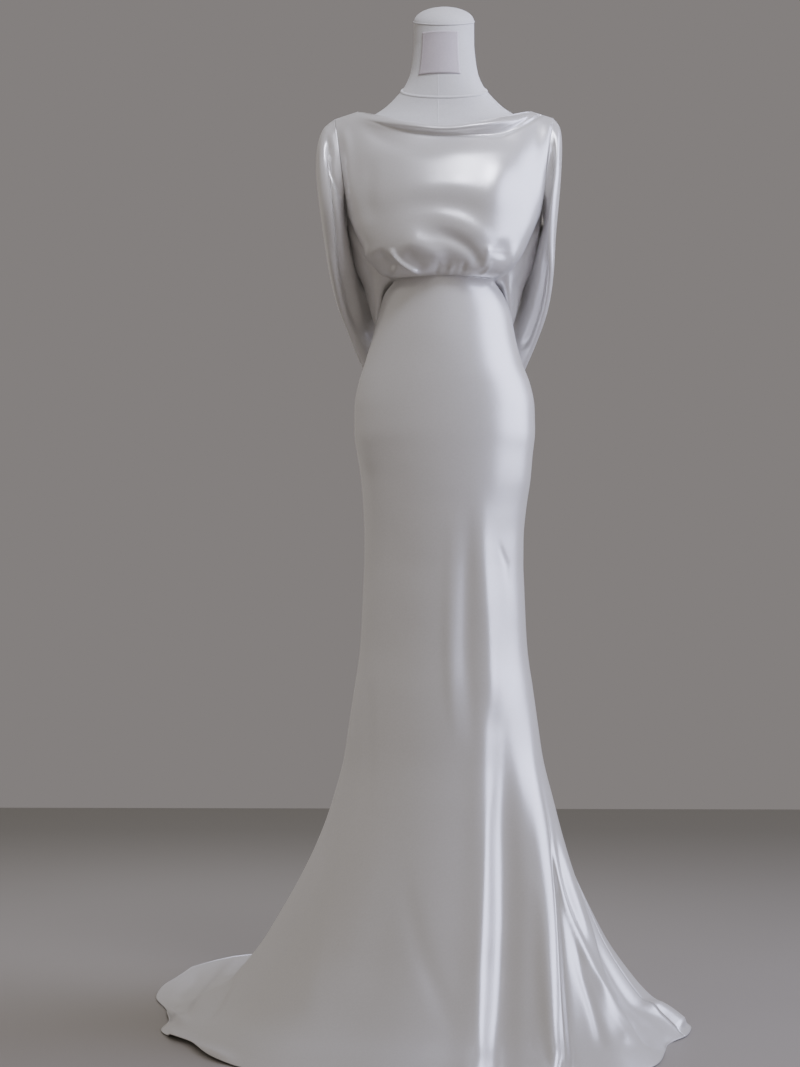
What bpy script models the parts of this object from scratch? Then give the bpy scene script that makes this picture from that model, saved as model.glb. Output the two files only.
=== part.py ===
"""Satin wedding dress with a blouson bodice and a train, on a limbless dress form.

Metres, +Z up. The viewer stands at -Y, with +X to the right, so left and right are
the viewer's. The origin is the middle of the base plate's underside, on the floor.
"""
import bmesh
import bpy
import numpy as np

# Driving dimensions
CLOTH = 0.0018             # wall of the satin, its seam allowances included
GAP = 0.0003               # between two pieces at a seam, and cloth to form
SEAM_OUT = 0.0006          # the bodice ends this far above and outside the skirt's top edge
FLOOR_LIFT = 0.0021        # top of the cloth where it lies on the floor
WAIST_HEIGHT = 1.297       # top edge of the skirt
WAIST_WIDE = 0.0875        # half the waist seam, side to side
WAIST_DEEP = 0.0925        # half the waist seam, front to back
KNEE_HEIGHT = 0.80         # below this the skirt flares
FITTED_SHARE = 0.46        # share of the skirt's rows that lie above the knee
SWING_HEIGHT = 0.68        # below this the cloth also swings round towards the front
SWING_EASE = 1.3           # how slowly that swing begins
SHOULDER_START = 0.150     # the neckline ends and the shoulder seam begins at this width
NECK_RADIUS = 0.0525
NECK_TOP = 1.752
CAP_TILT = 0.32            # rise of the cap's seam for each metre towards the back
CAP_DOME = 0.026
FORM_BOTTOM = 0.88
INSIDE_SKIRT = 0.006       # the form's cover is this far inside the skirt below the waist
BASE_RADIUS = 0.19
POLE_RADIUS = 0.0125
POLE_FOOT = 0.060          # the pole stands on the base's collar here
LABEL_SIZE = (0.065, 0.073)
LABEL_MIDDLE = (-0.008, 1.6885)
LABEL_CARD = 0.0008        # thickness of the label
LABEL_CLEAR = 0.0009       # between the label and the neck

# How finely each piece is divided
SKIRT_ROWS = np.concatenate(((0, 0.016, 0.040), np.linspace(0.075, 1, 21)))
SEAM_STEPS = 11            # rows along the side seam, underarm to waist
YOKE_STEPS = 7             # rows from the shoulder to the underarm
BODICE_COLUMNS = 19
SLEEVE_RINGS = 19
FORM_SIDES = 28
BASE_SIDES = 40
POLE_SIDES = 20
LABEL_COLUMNS = 9
LABEL_ROWS = 5
SHARP_ANGLE = 50           # edges sharper than this, in degrees, are shaded as edges

# Angles are in degrees round the body: 0 is the right side, 90 the back, -90 the front.
RIGHT_SEAM = 18
LEFT_SEAM = -198
BACK_SEAM = 90

# Skirt from the waist to the knee, as half-widths from the axis
SKIRT_SECTIONS = {
    "height": (0.80, 0.85, 0.90, 0.951, 0.996, 1.036, 1.079, 1.116, 1.156, 1.197, 1.243, 1.274, 1.297),
    "left": (.1395, .139, .141, .145, .152, .157, .1565, .1505, .138, .126, .1135, .1045, WAIST_WIDE),
    "right": (.1385, .139, .1435, .151, .155, .159, .158, .151, .136, .125, .116, .103, WAIST_WIDE),
    "front": (.112, .112, .1125, .114, .115, .116, .1155, .114, .111, .107, .101, .0965, WAIST_DEEP),
    "back": (.110, .1115, .115, .121, .127, .131, .130, .126, .119, .110, .101, .0965, WAIST_DEEP),
}

# How the cloth falls below the knee: reach is the share of the way from knee to hem.
FALL = {
    "height": (0.80, 0.66, 0.588, 0.52, 0.464, 0.40, 0.353, 0.299, 0.25, 0.197,
               0.148, 0.103, 0.066, 0.046, 0.025, 0.010, FLOOR_LIFT),
    "reach": (0, .02, .05, .08, .105, .155, .20, .265, .335, .42, .505, .61, .715, .79, .895, .965, 1),
}
TRAIN_FALL = {
    "height": (0.80, 0.66, 0.57, 0.49, 0.42, 0.35, 0.295, 0.235, 0.185, 0.135,
               0.092, 0.056, 0.030, 0.016, 0.008, 0.004, FLOOR_LIFT),
    "reach": (0, .02, .045, .08, .115, .165, .215, .28, .35, .43, .515, .61, .705, .79, .89, .955, 1),
}

# Edge of the hem on the floor, front round to the back, and how far the train lies flat
HEM = {
    "angle": (-225, -214, -202, -189, -178, -167, -155, -135.5, -112, -90, -73, -58, -45, -32,
              -18, -6, 5, 15, 36, 56, 76, 98, 121, 135),
    "radius": (.711, .648, .560, .500, .480, .484, .472, .474, .455, .440, .455, .470, .466, .443,
               .428, .424, .392, .374, .426, .541, .638, .690, .726, .711),
}
TRAIN_SHARE = {"angle": (-198, -180, 20, 60, 135), "share": (1, 0, 0, 1, 1)}

# Where each line of cloth below the knee meets the floor
SWING = {
    "knee": (-198, -180, -150, -120, -90, -60, -35, -12, 5, 14, 24, 40, 60, 90, 130, 162),
    "floor": (-190, -177, -156, -126, -97, -83, -75, -67, -52, -22, -7, 10, 50, 97, 140, 170),
}

# Folds that run down the skirt: where at the knee, how wide, how deep, and where they start
FOLDS = {
    "inner ridge": {"angle": -64, "width": 9, "depth": .010, "top": 0.95},
    "trough beside it": {"angle": -50, "width": 10, "depth": -.016, "top": 0.75},
    "outer ridge": {"angle": -19, "width": 8, "depth": .012, "top": 0.60},
    "deep crease": {"angle": -11, "width": 3, "depth": -.018, "top": 0.46},
    "front layer's edge": {"angle": 4, "width": 5, "depth": .012, "top": 0.45},
    "seam trough": {"angle": 13, "width": 4, "depth": -.022, "top": 0.45},
    "side wave": {"angle": 33, "width": 8, "depth": .014, "top": 0.45},
    "back trough": {"angle": 50, "width": 9, "depth": -.020, "top": 0.55},
    "back wave": {"angle": 70, "width": 9, "depth": .020, "top": 0.55},
    "centre-back trough": {"angle": 90, "width": 9, "depth": -.016, "top": 0.60},
    "train wave": {"angle": 112, "width": 10, "depth": .022, "top": 0.55},
    "train trough": {"angle": 132, "width": 9, "depth": -.020, "top": 0.50},
    "left back wave": {"angle": 150, "width": 8, "depth": .014, "top": 0.50},
    "left side wave": {"angle": -172, "width": 8, "depth": .010, "top": 0.40},
    "left trough": {"angle": -150, "width": 11, "depth": -.014, "top": 0.62},
    "left front trough": {"angle": -108, "width": 10, "depth": -.008, "top": 0.45},
}

# Lines of cloth that the skirt's panels are divided along
FRONT_LINES = (LEFT_SEAM, -190, -182, -172, -161, -150, -139, -128, -118, -108, -99, -90, -80, -71,
               -62, -56, -50, -43, -34, -26, -19, -14.5, -11, -7, 0, 5, 9.5, RIGHT_SEAM)
RIGHT_BACK_LINES = (RIGHT_SEAM, 22, 26, 33, 41, 50, 60, 70, 80, BACK_SEAM)
LEFT_BACK_LINES = (BACK_SEAM, 101, 112, 122, 132, 141, 150, 156, LEFT_SEAM + 360)

# Front bodice, one half: points (x, y, z) of each level, from the middle to the armhole or side seam
FRONT_NET = {
    "neckline": {"middle": (0, -.074, 1.558), "near": (.058, -.067, 1.565), "wide": (.112, -.046, 1.580),
                 "turn": (.155, -.006, 1.593), "edge": (.191, .002, 1.583)},
    "cowl roll": {"middle": (0, -.090, 1.550), "near": (.060, -.084, 1.557), "wide": (.115, -.061, 1.569),
                  "turn": (.158, -.022, 1.583), "edge": (.190, -.010, 1.572)},
    "cowl crease": {"middle": (0, -.085, 1.537), "near": (.062, -.080, 1.541), "wide": (.118, -.061, 1.551),
                    "turn": (.160, -.033, 1.566), "edge": (.187, -.022, 1.556)},
    "chest": {"middle": (0, -.112, 1.500), "near": (.066, -.106, 1.500), "wide": (.122, -.083, 1.506),
              "turn": (.160, -.052, 1.516), "edge": (.181, -.033, 1.515)},
    "bust": {"middle": (0, -.131, 1.445), "near": (.072, -.125, 1.445), "wide": (.129, -.097, 1.446),
             "turn": (.161, -.060, 1.450), "edge": (.174, -.029, 1.460)},
    "underarm": {"middle": (0, -.133, 1.400), "near": (.073, -.127, 1.397), "wide": (.128, -.097, 1.396),
                 "turn": (.157, -.057, 1.400), "edge": (.170, .006, 1.418)},
    "below bust": {"middle": (0, -.132, 1.360), "near": (.069, -.127, 1.355), "wide": (.121, -.097, 1.356),
                   "turn": (.145, -.055, 1.362), "edge": (.152, .004, 1.382)},
    "fullest": {"middle": (0, -.126, 1.330), "near": (.062, -.123, 1.322), "wide": (.110, -.094, 1.321),
                "turn": (.130, -.052, 1.330), "edge": (.130, .002, 1.350)},
    "turn under": {"middle": (0, -.110, 1.308), "near": (.048, -.110, 1.3005),
                   "wide": (.087, -.084, 1.2995), "turn": (.104, -.044, 1.304), "edge": (.106, 0, 1.318)},
}
FRONT_YOKE_ROWS = 5         # rows of the net above the underarm

# Back bodice, one half, by the same columns
BACK_NET = {
    "neckline": {"middle": (0, .072, 1.570), "near": (.058, .066, 1.575), "wide": (.112, .046, 1.584),
                 "turn": (.155, -.006, 1.593), "edge": (.191, .002, 1.583)},
    "nape": {"middle": (0, .086, 1.545), "near": (.060, .081, 1.549), "wide": (.116, .063, 1.558),
             "turn": (.158, .030, 1.572), "edge": (.189, .018, 1.571)},
    "shoulder blade": {"middle": (0, .106, 1.495), "near": (.067, .101, 1.495), "wide": (.123, .081, 1.501),
                       "turn": (.160, .054, 1.513), "edge": (.183, .040, 1.522)},
    "upper back": {"middle": (0, .119, 1.445), "near": (.073, .113, 1.445), "wide": (.129, .093, 1.448),
                   "turn": (.161, .066, 1.452), "edge": (.176, .042, 1.462)},
    "underarm": {"middle": (0, .127, 1.400), "near": (.076, .122, 1.400), "wide": (.131, .101, 1.402),
                 "turn": (.1645, .064, 1.408), "edge": (.170, .006, 1.418)},
    "blouse": {"middle": (0, .136, 1.350), "near": (.078, .131, 1.349), "wide": (.131, .107, 1.352),
               "turn": (.1595, .062, 1.362), "edge": (.152, .004, 1.382)},
    "fullest": {"middle": (0, .146, 1.293), "near": (.076, .140, 1.291), "wide": (.123, .112, 1.294),
                "turn": (.144, .064, 1.308), "edge": (.130, .002, 1.350)},
    "hang": {"middle": (0, .150, 1.246), "near": (.071, .144, 1.243), "wide": (.114, .114, 1.247),
             "turn": (.132, .060, 1.262), "edge": (.117, .001, 1.333)},
    "lowest": {"middle": (0, .141, 1.216), "near": (.064, .136, 1.214), "wide": (.103, .107, 1.218),
               "turn": (.121, .054, 1.230), "edge": (.106, 0, 1.318)},
    "return": {"middle": (0, .123, 1.223), "near": (.055, .119, 1.221), "wide": (.092, .093, 1.225),
               "turn": (.1155, .042, 1.241), "edge": (.100, 0, 1.310)},
    "inner": {"middle": (0, .109, 1.262), "near": (.046, .103, 1.262), "wide": (.080, .078, 1.265),
              "turn": (.103, .034, 1.276), "edge": (.0945, 0, 1.303)},
}
BACK_YOKE_ROWS = 4

# Sleeve, ring by ring down to the cuff: its outer line, its inner line, half its width, and how far
# its inner side at the rear fills out towards the blouson
SLEEVE_LINES = {
    "outer": ((.191, .002, 1.583), (.203, .004, 1.566), (.2065, .007, 1.535), (.2045, .012, 1.490),
              (.199, .020, 1.440), (.193, .034, 1.385), (.186, .058, 1.325), (.173, .090, 1.266),
              (.151, .122, 1.214), (.126, .146, 1.168), (.102, .160, 1.122), (.080, .167, 1.080)),
    "inner": ((.170, .006, 1.418), (.1725, .008, 1.410), (.173, .010, 1.402), (.172, .014, 1.390),
              (.169, .022, 1.370), (.163, .038, 1.338), (.154, .062, 1.297), (.141, .086, 1.250),
              (.122, .106, 1.206), (.100, .121, 1.164), (.080, .130, 1.121), (.062, .136, 1.082)),
    "half width": ((0, .040, 0), (.001, .046, 0), (.002, .051, .002), (.002, .055, .004),
                   (0, .056, .006), (-.004, .055, .008), (-.014, .053, .009), (-.021, .047, .011),
                   (-.025, .038, .015), (-.029, .026, .019), (-.032, .014, .023), (-.034, .006, .027)),
    "fill": (0, 0, 0, .005, .014, .016, .014, .008, .002, 0, 0, 0),
}
LEFT_SLEEVE_OUT = 0.021     # the left sleeve stands out this much more, at its upper middle
ARMHOLE_BLEND = 0.18        # share of the sleeve over which it leaves the armhole's own shape

# Heights of the form's rings below the waist, where it follows the skirt
HIP_HEIGHTS = (FORM_BOTTOM, 0.95, 1.02, 1.08, 1.14, 1.20, 1.25, 1.28)

# The form above the waist: half-widths of its rings
TORSO = {
    "height": (1.297, 1.312, 1.34, 1.38, 1.44, 1.49, 1.53, 1.557, 1.573, 1.586, 1.600, 1.6165, 1.640,
               1.662, 1.69, 1.71),
    "wide": (.0848, .0855, .098, .123, .146, .156, .163, .166, .160, .128, .105, .087, .068, .059,
             .0545, NECK_RADIUS),
    "front": (.0902, .0895, .094, .112, .121, .104, .077, .066, .060, .057, .055, .0545, .054,
              .0535, .053, NECK_RADIUS),
    "back": (.0902, .0895, .092, .100, .106, .095, .077, .064, .060, .058, .057, .057, .0565,
             .0555, .0545, NECK_RADIUS),
}

# Rings of the neck cap, as shares of the way from its seam to the top of its dome
CAP_SHARES = (0, 0.25, 0.5, 0.75, 0.93)

# Outline of the base plate and the collar that carries the pole
BASE_PROFILE = {
    "radius": (BASE_RADIUS - .002, BASE_RADIUS, BASE_RADIUS, BASE_RADIUS - .004, .040, .026, .021,
               .020, .018),
    "height": (0, .002, .007, .010, .015, .020, .030, POLE_FOOT - .002, POLE_FOOT),
}


def clear_scene():
    for old in list(bpy.data.objects):
        bpy.data.objects.remove(old, do_unlink=True)


def material(name, colour, roughness, metallic=0.0):
    made = bpy.data.materials.new(name)
    made.use_nodes = True
    shader = made.node_tree.nodes["Principled BSDF"]
    shader.inputs["Base Color"].default_value = (*colour, 1.0)
    shader.inputs["Roughness"].default_value = roughness
    shader.inputs["Metallic"].default_value = metallic
    return made


def soft(x, xs, ys):
    """Read, at x, a soft curve through the points (xs, ys) that never swings past them."""
    xs = np.asarray(xs, dtype=float)
    ys = np.asarray(ys, dtype=float)
    x = np.clip(x, xs[0], xs[-1])
    run = np.diff(xs)
    rise = np.diff(ys) / run
    before, after = rise[:-1], rise[1:]
    same_way = before * after > 0
    total = np.where(same_way, before + after, 1.0)
    inner = np.where(same_way, 2 * before * after / total, 0.0)
    tangent = np.concatenate(([rise[0]], inner, [rise[-1]]))
    i = np.clip(np.searchsorted(xs, x, side="right") - 1, 0, len(run) - 1)
    t = (x - xs[i]) / run[i]
    ends = ys[i] * (1 + 2 * t) * (1 - t) ** 2 + ys[i + 1] * t ** 2 * (3 - 2 * t)
    lean = tangent[i] * t * (1 - t) ** 2 - tangent[i + 1] * t ** 2 * (1 - t)
    return ends + run[i] * lean


def through(points, share):
    """Points at the given shares, 0 to 1, of a soft curve through evenly counted points."""
    points = np.asarray(points, dtype=float)
    last = len(points) - 1
    place = np.clip(np.asarray(share, dtype=float), 0, 1) * last
    i = np.minimum(place.astype(int), last - 1)
    t = (place - i).reshape((-1,) + (1,) * (points.ndim - 1))
    lean = np.gradient(points, axis=0)
    start, end = points[i], points[i + 1]
    return (start * (1 + 2 * t) * (1 - t) ** 2 + end * t ** 2 * (3 - 2 * t)
            + lean[i] * t * (1 - t) ** 2 - lean[i + 1] * t ** 2 * (1 - t))


def smooth_step(x):
    x = np.clip(x, 0, 1)
    return x * x * (3 - 2 * x)


def skirt_section(height):
    """Half-widths of the fitted skirt at a height: left, right, front and back."""
    return [soft(height, SKIRT_SECTIONS["height"], SKIRT_SECTIONS[side])
            for side in ("left", "right", "front", "back")]


def skirt_point(line, row):
    """Outer surface of the skirt: line is the angle at the knee, row runs 0 at the waist to 1."""
    line, row = np.broadcast_arrays(np.asarray(line, float), np.asarray(row, float))
    above = WAIST_HEIGHT + (KNEE_HEIGHT - WAIST_HEIGHT) * row / FITTED_SHARE
    below = np.clip((row - FITTED_SHARE) / (1 - FITTED_SHARE), 0, 1)
    count = np.linspace(0, 1, len(FALL["height"]))
    floor_angle = soft(line, SWING["knee"], SWING["floor"])
    hem_angle = (floor_angle - HEM["angle"][0]) % 360 + HEM["angle"][0]
    train = soft(hem_angle, TRAIN_SHARE["angle"], TRAIN_SHARE["share"])
    fall_height = soft(below, count, FALL["height"])
    fall_reach = soft(below, count, FALL["reach"])
    train_height = soft(below, count, TRAIN_FALL["height"])
    train_reach = soft(below, count, TRAIN_FALL["reach"])
    height = np.where(row < FITTED_SHARE, above, fall_height + train * (train_height - fall_height))
    reach = fall_reach + train * (train_reach - fall_reach)
    turn = np.clip((SWING_HEIGHT - height) / SWING_HEIGHT, 0, 1) ** SWING_EASE
    angle = np.radians(line)
    left, right, front, back = skirt_section(height)
    side = np.where(np.cos(angle) > 0, right, left)
    depth = np.where(np.sin(angle) > 0, back, front)
    body = np.hypot(side * np.cos(angle), depth * np.sin(angle))
    way = np.arctan2(depth * np.sin(angle), side * np.cos(angle))
    way = line + (np.degrees(way) - line + 180) % 360 - 180
    now = np.radians(way + turn * (floor_angle - way))
    hem = soft(hem_angle, HEM["angle"], HEM["radius"])
    radius = body + (hem - body) * reach
    for fold in FOLDS.values():
        off = (line - fold["angle"] + 180) % 360 - 180
        growth = smooth_step((fold["top"] - height) / fold["top"])
        radius = radius + fold["depth"] * growth * np.exp(-(off / fold["width"]) ** 2)
    return np.stack((radius * np.cos(now), radius * np.sin(now), height), axis=-1)


def unit(vectors):
    return vectors / np.linalg.norm(vectors, axis=-1, keepdims=True)


def grid_normals(grid):
    """Outward normals of a grid of points whose rows run down and whose columns run to the right."""
    down = np.gradient(grid, axis=0)
    across = np.gradient(grid, axis=1)
    return unit(np.cross(down, across))


def mesh_object(name, points, faces, surface):
    mesh = bpy.data.meshes.new(name)
    mesh.from_pydata([tuple(map(float, p)) for p in points], [], faces)
    mesh.materials.append(surface)
    shape = bmesh.new()
    shape.from_mesh(mesh)
    bmesh.ops.recalc_face_normals(shape, faces=shape.faces)
    shape.to_mesh(mesh)
    shape.free()
    mesh.shade_smooth()
    mesh.set_sharp_from_angle(angle=np.radians(SHARP_ANGLE))
    made = bpy.data.objects.new(name, mesh)
    bpy.context.collection.objects.link(made)
    return made


def both_skins(quad, points, skin):
    """Four triangles: a quad of the outer skin and its copy inside, cut on the same diagonal."""
    a, b, c, d = quad
    if np.linalg.norm(points[a] - points[c]) < np.linalg.norm(points[b] - points[d]):
        halves = ((a, b, c), (a, c, d))
    else:
        halves = ((a, b, d), (b, c, d))
    return [*halves, *(tuple(skin + k for k in reversed(half)) for half in halves)]


def cloth_panel(name, outer, normals, surface, wall=CLOTH):
    """A closed wall: the grid of outer points, the same grid moved in, and a rim round both."""
    rows, columns = outer.shape[:2]
    inner = outer - normals * wall
    inner[..., 2] = np.maximum(inner[..., 2], GAP / 2)
    points = np.concatenate((outer.reshape(-1, 3), inner.reshape(-1, 3)))
    skin = rows * columns

    def at(row, column):
        return row * columns + column

    faces = []
    for r in range(rows - 1):
        for c in range(columns - 1):
            quad = (at(r, c), at(r + 1, c), at(r + 1, c + 1), at(r, c + 1))
            faces += both_skins(quad, points, skin)
    edge = [at(0, c) for c in range(columns)]
    edge += [at(r, columns - 1) for r in range(1, rows)]
    edge += [at(rows - 1, c) for c in range(columns - 2, -1, -1)]
    edge += [at(r, 0) for r in range(rows - 2, 0, -1)]
    for here, following in zip(edge, edge[1:] + edge[:1]):
        faces.append((here, following, skin + following, skin + here))
    return mesh_object(name, points, faces, surface)


def cloth_tube(name, outer, normals, surface):
    """A closed wall round a tube with open ends, from rings of points."""
    rings, sides = outer.shape[:2]
    inner = outer - normals * CLOTH
    points = np.concatenate((outer.reshape(-1, 3), inner.reshape(-1, 3)))
    skin = rings * sides
    faces = []
    for s in range(sides):
        after = (s + 1) % sides
        for r in range(rings - 1):
            quad = (r * sides + s, (r + 1) * sides + s, (r + 1) * sides + after, r * sides + after)
            faces += both_skins(quad, points, skin)
        faces.append((s, after, skin + after, skin + s))
        end = (rings - 1) * sides
        faces.append((end + after, end + s, skin + end + s, skin + end + after))
    return mesh_object(name, points, faces, surface)


def ring_solid(name, rings, surface):
    """A closed solid from a stack of rings, with a flat face at each end."""
    count, sides = rings.shape[:2]
    faces = [tuple(range(sides)), tuple((count - 1) * sides + s for s in reversed(range(sides)))]
    for r in range(count - 1):
        for s in range(sides):
            after = (s + 1) % sides
            faces.append((r * sides + s, (r + 1) * sides + s, (r + 1) * sides + after, r * sides + after))
    return mesh_object(name, rings.reshape(-1, 3), faces, surface)


def skirt_panel(name, lines, surface):
    """One panel of the skirt between two seams, half a gap short of each."""
    lines = np.array(lines, dtype=float)
    rows = SKIRT_ROWS[:, None]
    outer = skirt_point(lines, rows)
    beside, beyond = 1.0, 0.004    # steps in degrees and in rows for the surface's lean
    across = skirt_point(lines + beside, rows) - skirt_point(lines - beside, rows)
    down = (skirt_point(lines, np.minimum(rows + beyond, 1))
            - skirt_point(lines, np.maximum(rows - beyond, 0)))
    normals = unit(np.cross(down, across))
    along = unit(across)
    outer[:, 0] += along[:, 0] * GAP / 2
    outer[:, -1] -= along[:, -1] * GAP / 2
    return cloth_panel(name, outer, normals, surface)


def full_net(half, seam_row):
    """A whole net of points from its right half, with the waist seam as its last row."""
    rows = [list(level.values()) for level in half.values()] + [seam_row]
    whole = []
    for row in rows:
        left = [(-x, y, z) for x, y, z in row[:0:-1]]
        whole.append(left + row)
    return np.array(whole)


def waist_row(sign):
    """Five points of the bodice's waist seam, middle to side, on the front (-1) or back (1)."""
    turn = np.radians(np.linspace(0, 90, 5))
    wide, deep, height = WAIST_WIDE + SEAM_OUT, WAIST_DEEP + SEAM_OUT, WAIST_HEIGHT + SEAM_OUT
    return [(wide * np.sin(t), sign * deep * np.cos(t), height) for t in turn]


def bodice_grid(half, sign, yoke_rows):
    """Outer points of one bodice panel, with its side edges on the shared side seam."""
    net = full_net(half, waist_row(sign))
    last = len(net) - 1
    yoke = np.linspace(0, yoke_rows / last, YOKE_STEPS, endpoint=False)
    lower = np.linspace(yoke_rows / last, 1, SEAM_STEPS + 1)
    across = np.linspace(0, 1, BODICE_COLUMNS)
    levels = through(net, np.concatenate((yoke, lower)))
    grid = through(levels.transpose(1, 0, 2), across).transpose(1, 0, 2)
    seam = through(side_seam(), np.linspace(0, 1, SEAM_STEPS + 1))
    for column, way in ((0, -1), (BODICE_COLUMNS - 1, 1)):
        wanted = seam * (way, 1, 1)
        miss = wanted - grid[YOKE_STEPS:, column]
        pull = np.clip(way * (2 * across - 1), 0, 1) ** 8
        grid[YOKE_STEPS:] += pull[None, :, None] * miss[:, None, :]
        grid[YOKE_STEPS:, column, 1] += sign * GAP / 2
    return grid


def side_seam():
    """Right side seam from the underarm down to the waist, which both panels share."""
    names = ("underarm", "below bust", "fullest", "turn under")
    points = [FRONT_NET[name]["edge"] for name in names]
    return points + [(WAIST_WIDE + SEAM_OUT, 0, WAIST_HEIGHT + SEAM_OUT)]


def shoulder_edge(grid, normals, sign):
    """Lay the shoulder edge on the shared seam, less half the gap, with its wall straight down."""
    shoulder = np.abs(grid[0, :, 0]) > SHOULDER_START
    start, tip = (np.array(FRONT_NET["neckline"][column]) for column in ("turn", "edge"))
    width = np.abs(grid[0, shoulder, 0])
    share = ((width - start[0]) / (tip[0] - start[0]))[:, None]
    seam = start + share * (tip - start)
    grid[0, shoulder, 1:] = seam[:, 1:] + (sign * GAP / 2, 0)
    normals[0, shoulder] = (0, 0, 1)
    return grid, normals


def make_bodice(surface):
    """Both bodice panels, and the armhole edges that the sleeves start from."""
    edges = {}
    for name, half, sign, yoke_rows in (("bodice_front", FRONT_NET, -1, FRONT_YOKE_ROWS),
                                        ("bodice_back", BACK_NET, 1, BACK_YOKE_ROWS)):
        grid = bodice_grid(half, sign, yoke_rows)
        normals = grid_normals(grid) * -sign
        for column in (0, -1):
            away = np.maximum(normals[YOKE_STEPS:, column, 1] * -sign, 0)
            normals[YOKE_STEPS:, column, 1] = away * -sign
        normals = unit(normals)
        grid, normals = shoulder_edge(grid, normals, sign)
        cloth_panel(name, grid, normals, surface)
        edges[name] = grid[:YOKE_STEPS + 1, -1].copy()
    return edges


def make_sleeve(name, way, edges, surface):
    """A tube from the armhole's own points to the cuff; way is 1 on the right, -1 on the left."""
    front, back = edges["bodice_front"], edges["bodice_back"]
    armhole = np.concatenate((front[:-1], back[:0:-1]))
    sides = len(armhole)
    turns = np.linspace(0, 2 * np.pi, sides, endpoint=False)
    share = np.linspace(0, 1, SLEEVE_RINGS)
    outer_line = through(SLEEVE_LINES["outer"], share)[:, None]
    if way < 0:
        outer_line[..., 0] += LEFT_SLEEVE_OUT * np.sin(np.pi * np.clip(share / 0.68, 0, 1))[:, None]
    inner_line = through(SLEEVE_LINES["inner"], share)[:, None]
    half_width = through(SLEEVE_LINES["half width"], share)[:, None]
    fill = through(SLEEVE_LINES["fill"], share)[:, None] * smooth_step(-np.sin(turns))
    fill = fill * (1 - np.cos(turns)) / 2
    middle = (outer_line + inner_line) / 2
    up = (outer_line - inner_line) / 2
    section = middle + up * np.cos(turns)[None, :, None] - half_width * np.sin(turns)[None, :, None]
    section[..., 0] -= fill
    leave = smooth_step(share / ARMHOLE_BLEND)[:, None, None]
    rings = section * leave + (armhole - section[0] + section) * (1 - leave)
    rings[0, :, 0] += GAP
    down = np.gradient(rings, axis=0)
    around = np.roll(rings, -1, axis=1) - np.roll(rings, 1, axis=1)
    normals = unit(np.cross(around, down))
    normals[0, :, 0] = 0
    normals = unit(normals)
    mirror = np.array((way, 1, 1))
    return cloth_tube(name, rings * mirror, normals * mirror, surface)


def ellipse_ring(wide, front, back, height, turns):
    depth = np.where(np.sin(turns) > 0, back, front)
    return np.stack((wide * np.cos(turns), depth * np.sin(turns), np.full_like(turns, height)), axis=-1)


def make_form(surface, cap_surface, label_surface):
    """Torso and neck, the neck cap and the bare label."""
    turns = np.linspace(0, 2 * np.pi, FORM_SIDES, endpoint=False)
    rings = []
    for height in HIP_HEIGHTS:
        left, right, front, back = skirt_section(height)
        wide = min(left, right) - INSIDE_SKIRT
        rings.append(ellipse_ring(wide, front - INSIDE_SKIRT, back - INSIDE_SKIRT, height, turns))
    for height, wide, front, back in zip(*TORSO.values()):
        rings.append(ellipse_ring(wide, front, back, height, turns))
    neck_top = ellipse_ring(NECK_RADIUS, NECK_RADIUS, NECK_RADIUS, NECK_TOP, turns)
    neck_top[:, 2] += CAP_TILT * neck_top[:, 1]
    rings.append(neck_top)
    ring_solid("form_body", np.array(rings), surface)
    make_cap(neck_top, turns, cap_surface)
    make_label(label_surface)


def make_cap(neck_top, turns, surface):
    """A low dome that follows the tilted top of the neck."""
    rings = []
    for share in CAP_SHARES:
        ring = neck_top * (np.sqrt(1 - share ** 2), np.sqrt(1 - share ** 2), 0)
        ring[:, 2] = NECK_TOP + GAP + CAP_TILT * ring[:, 1] + CAP_DOME * share
        rings.append(ring)
    ring_solid("form_cap", np.array(rings), surface)


def make_label(surface):
    """A thin card on the front of the neck, made from the neck's own roundness moved out."""
    wide, tall = LABEL_SIZE
    across = np.linspace(-wide / 2, wide / 2, LABEL_COLUMNS) + LABEL_MIDDLE[0]
    heights = np.linspace(tall / 2, -tall / 2, LABEL_ROWS)[:, None] + LABEL_MIDDLE[1]
    turn = across / NECK_RADIUS
    out = np.stack(np.broadcast_arrays(np.sin(turn), -np.cos(turn), 0 * heights), axis=-1)
    neck_wide = soft(heights, TORSO["height"], TORSO["wide"])
    neck_deep = soft(heights, TORSO["height"], TORSO["front"])
    neck = np.stack(np.broadcast_arrays(neck_wide * np.sin(turn), -neck_deep * np.cos(turn), heights),
                    axis=-1)
    cloth_panel("form_label", neck + out * (LABEL_CLEAR + LABEL_CARD), out, surface, wall=LABEL_CARD)


def make_stand(surface):
    """A turned base plate with a collar, and the pole that carries the form."""
    turns = np.linspace(0, 2 * np.pi, BASE_SIDES, endpoint=False)
    rings = [ellipse_ring(radius, radius, radius, height, turns)
             for radius, height in zip(BASE_PROFILE["radius"], BASE_PROFILE["height"])]
    ring_solid("stand_base", np.array(rings), surface)
    sides = np.linspace(0, 2 * np.pi, POLE_SIDES, endpoint=False)
    ends = (POLE_FOOT + GAP, FORM_BOTTOM - GAP)
    pole = [ellipse_ring(POLE_RADIUS, POLE_RADIUS, POLE_RADIUS, height, sides) for height in ends]
    ring_solid("stand_pole", np.array(pole), surface)


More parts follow.
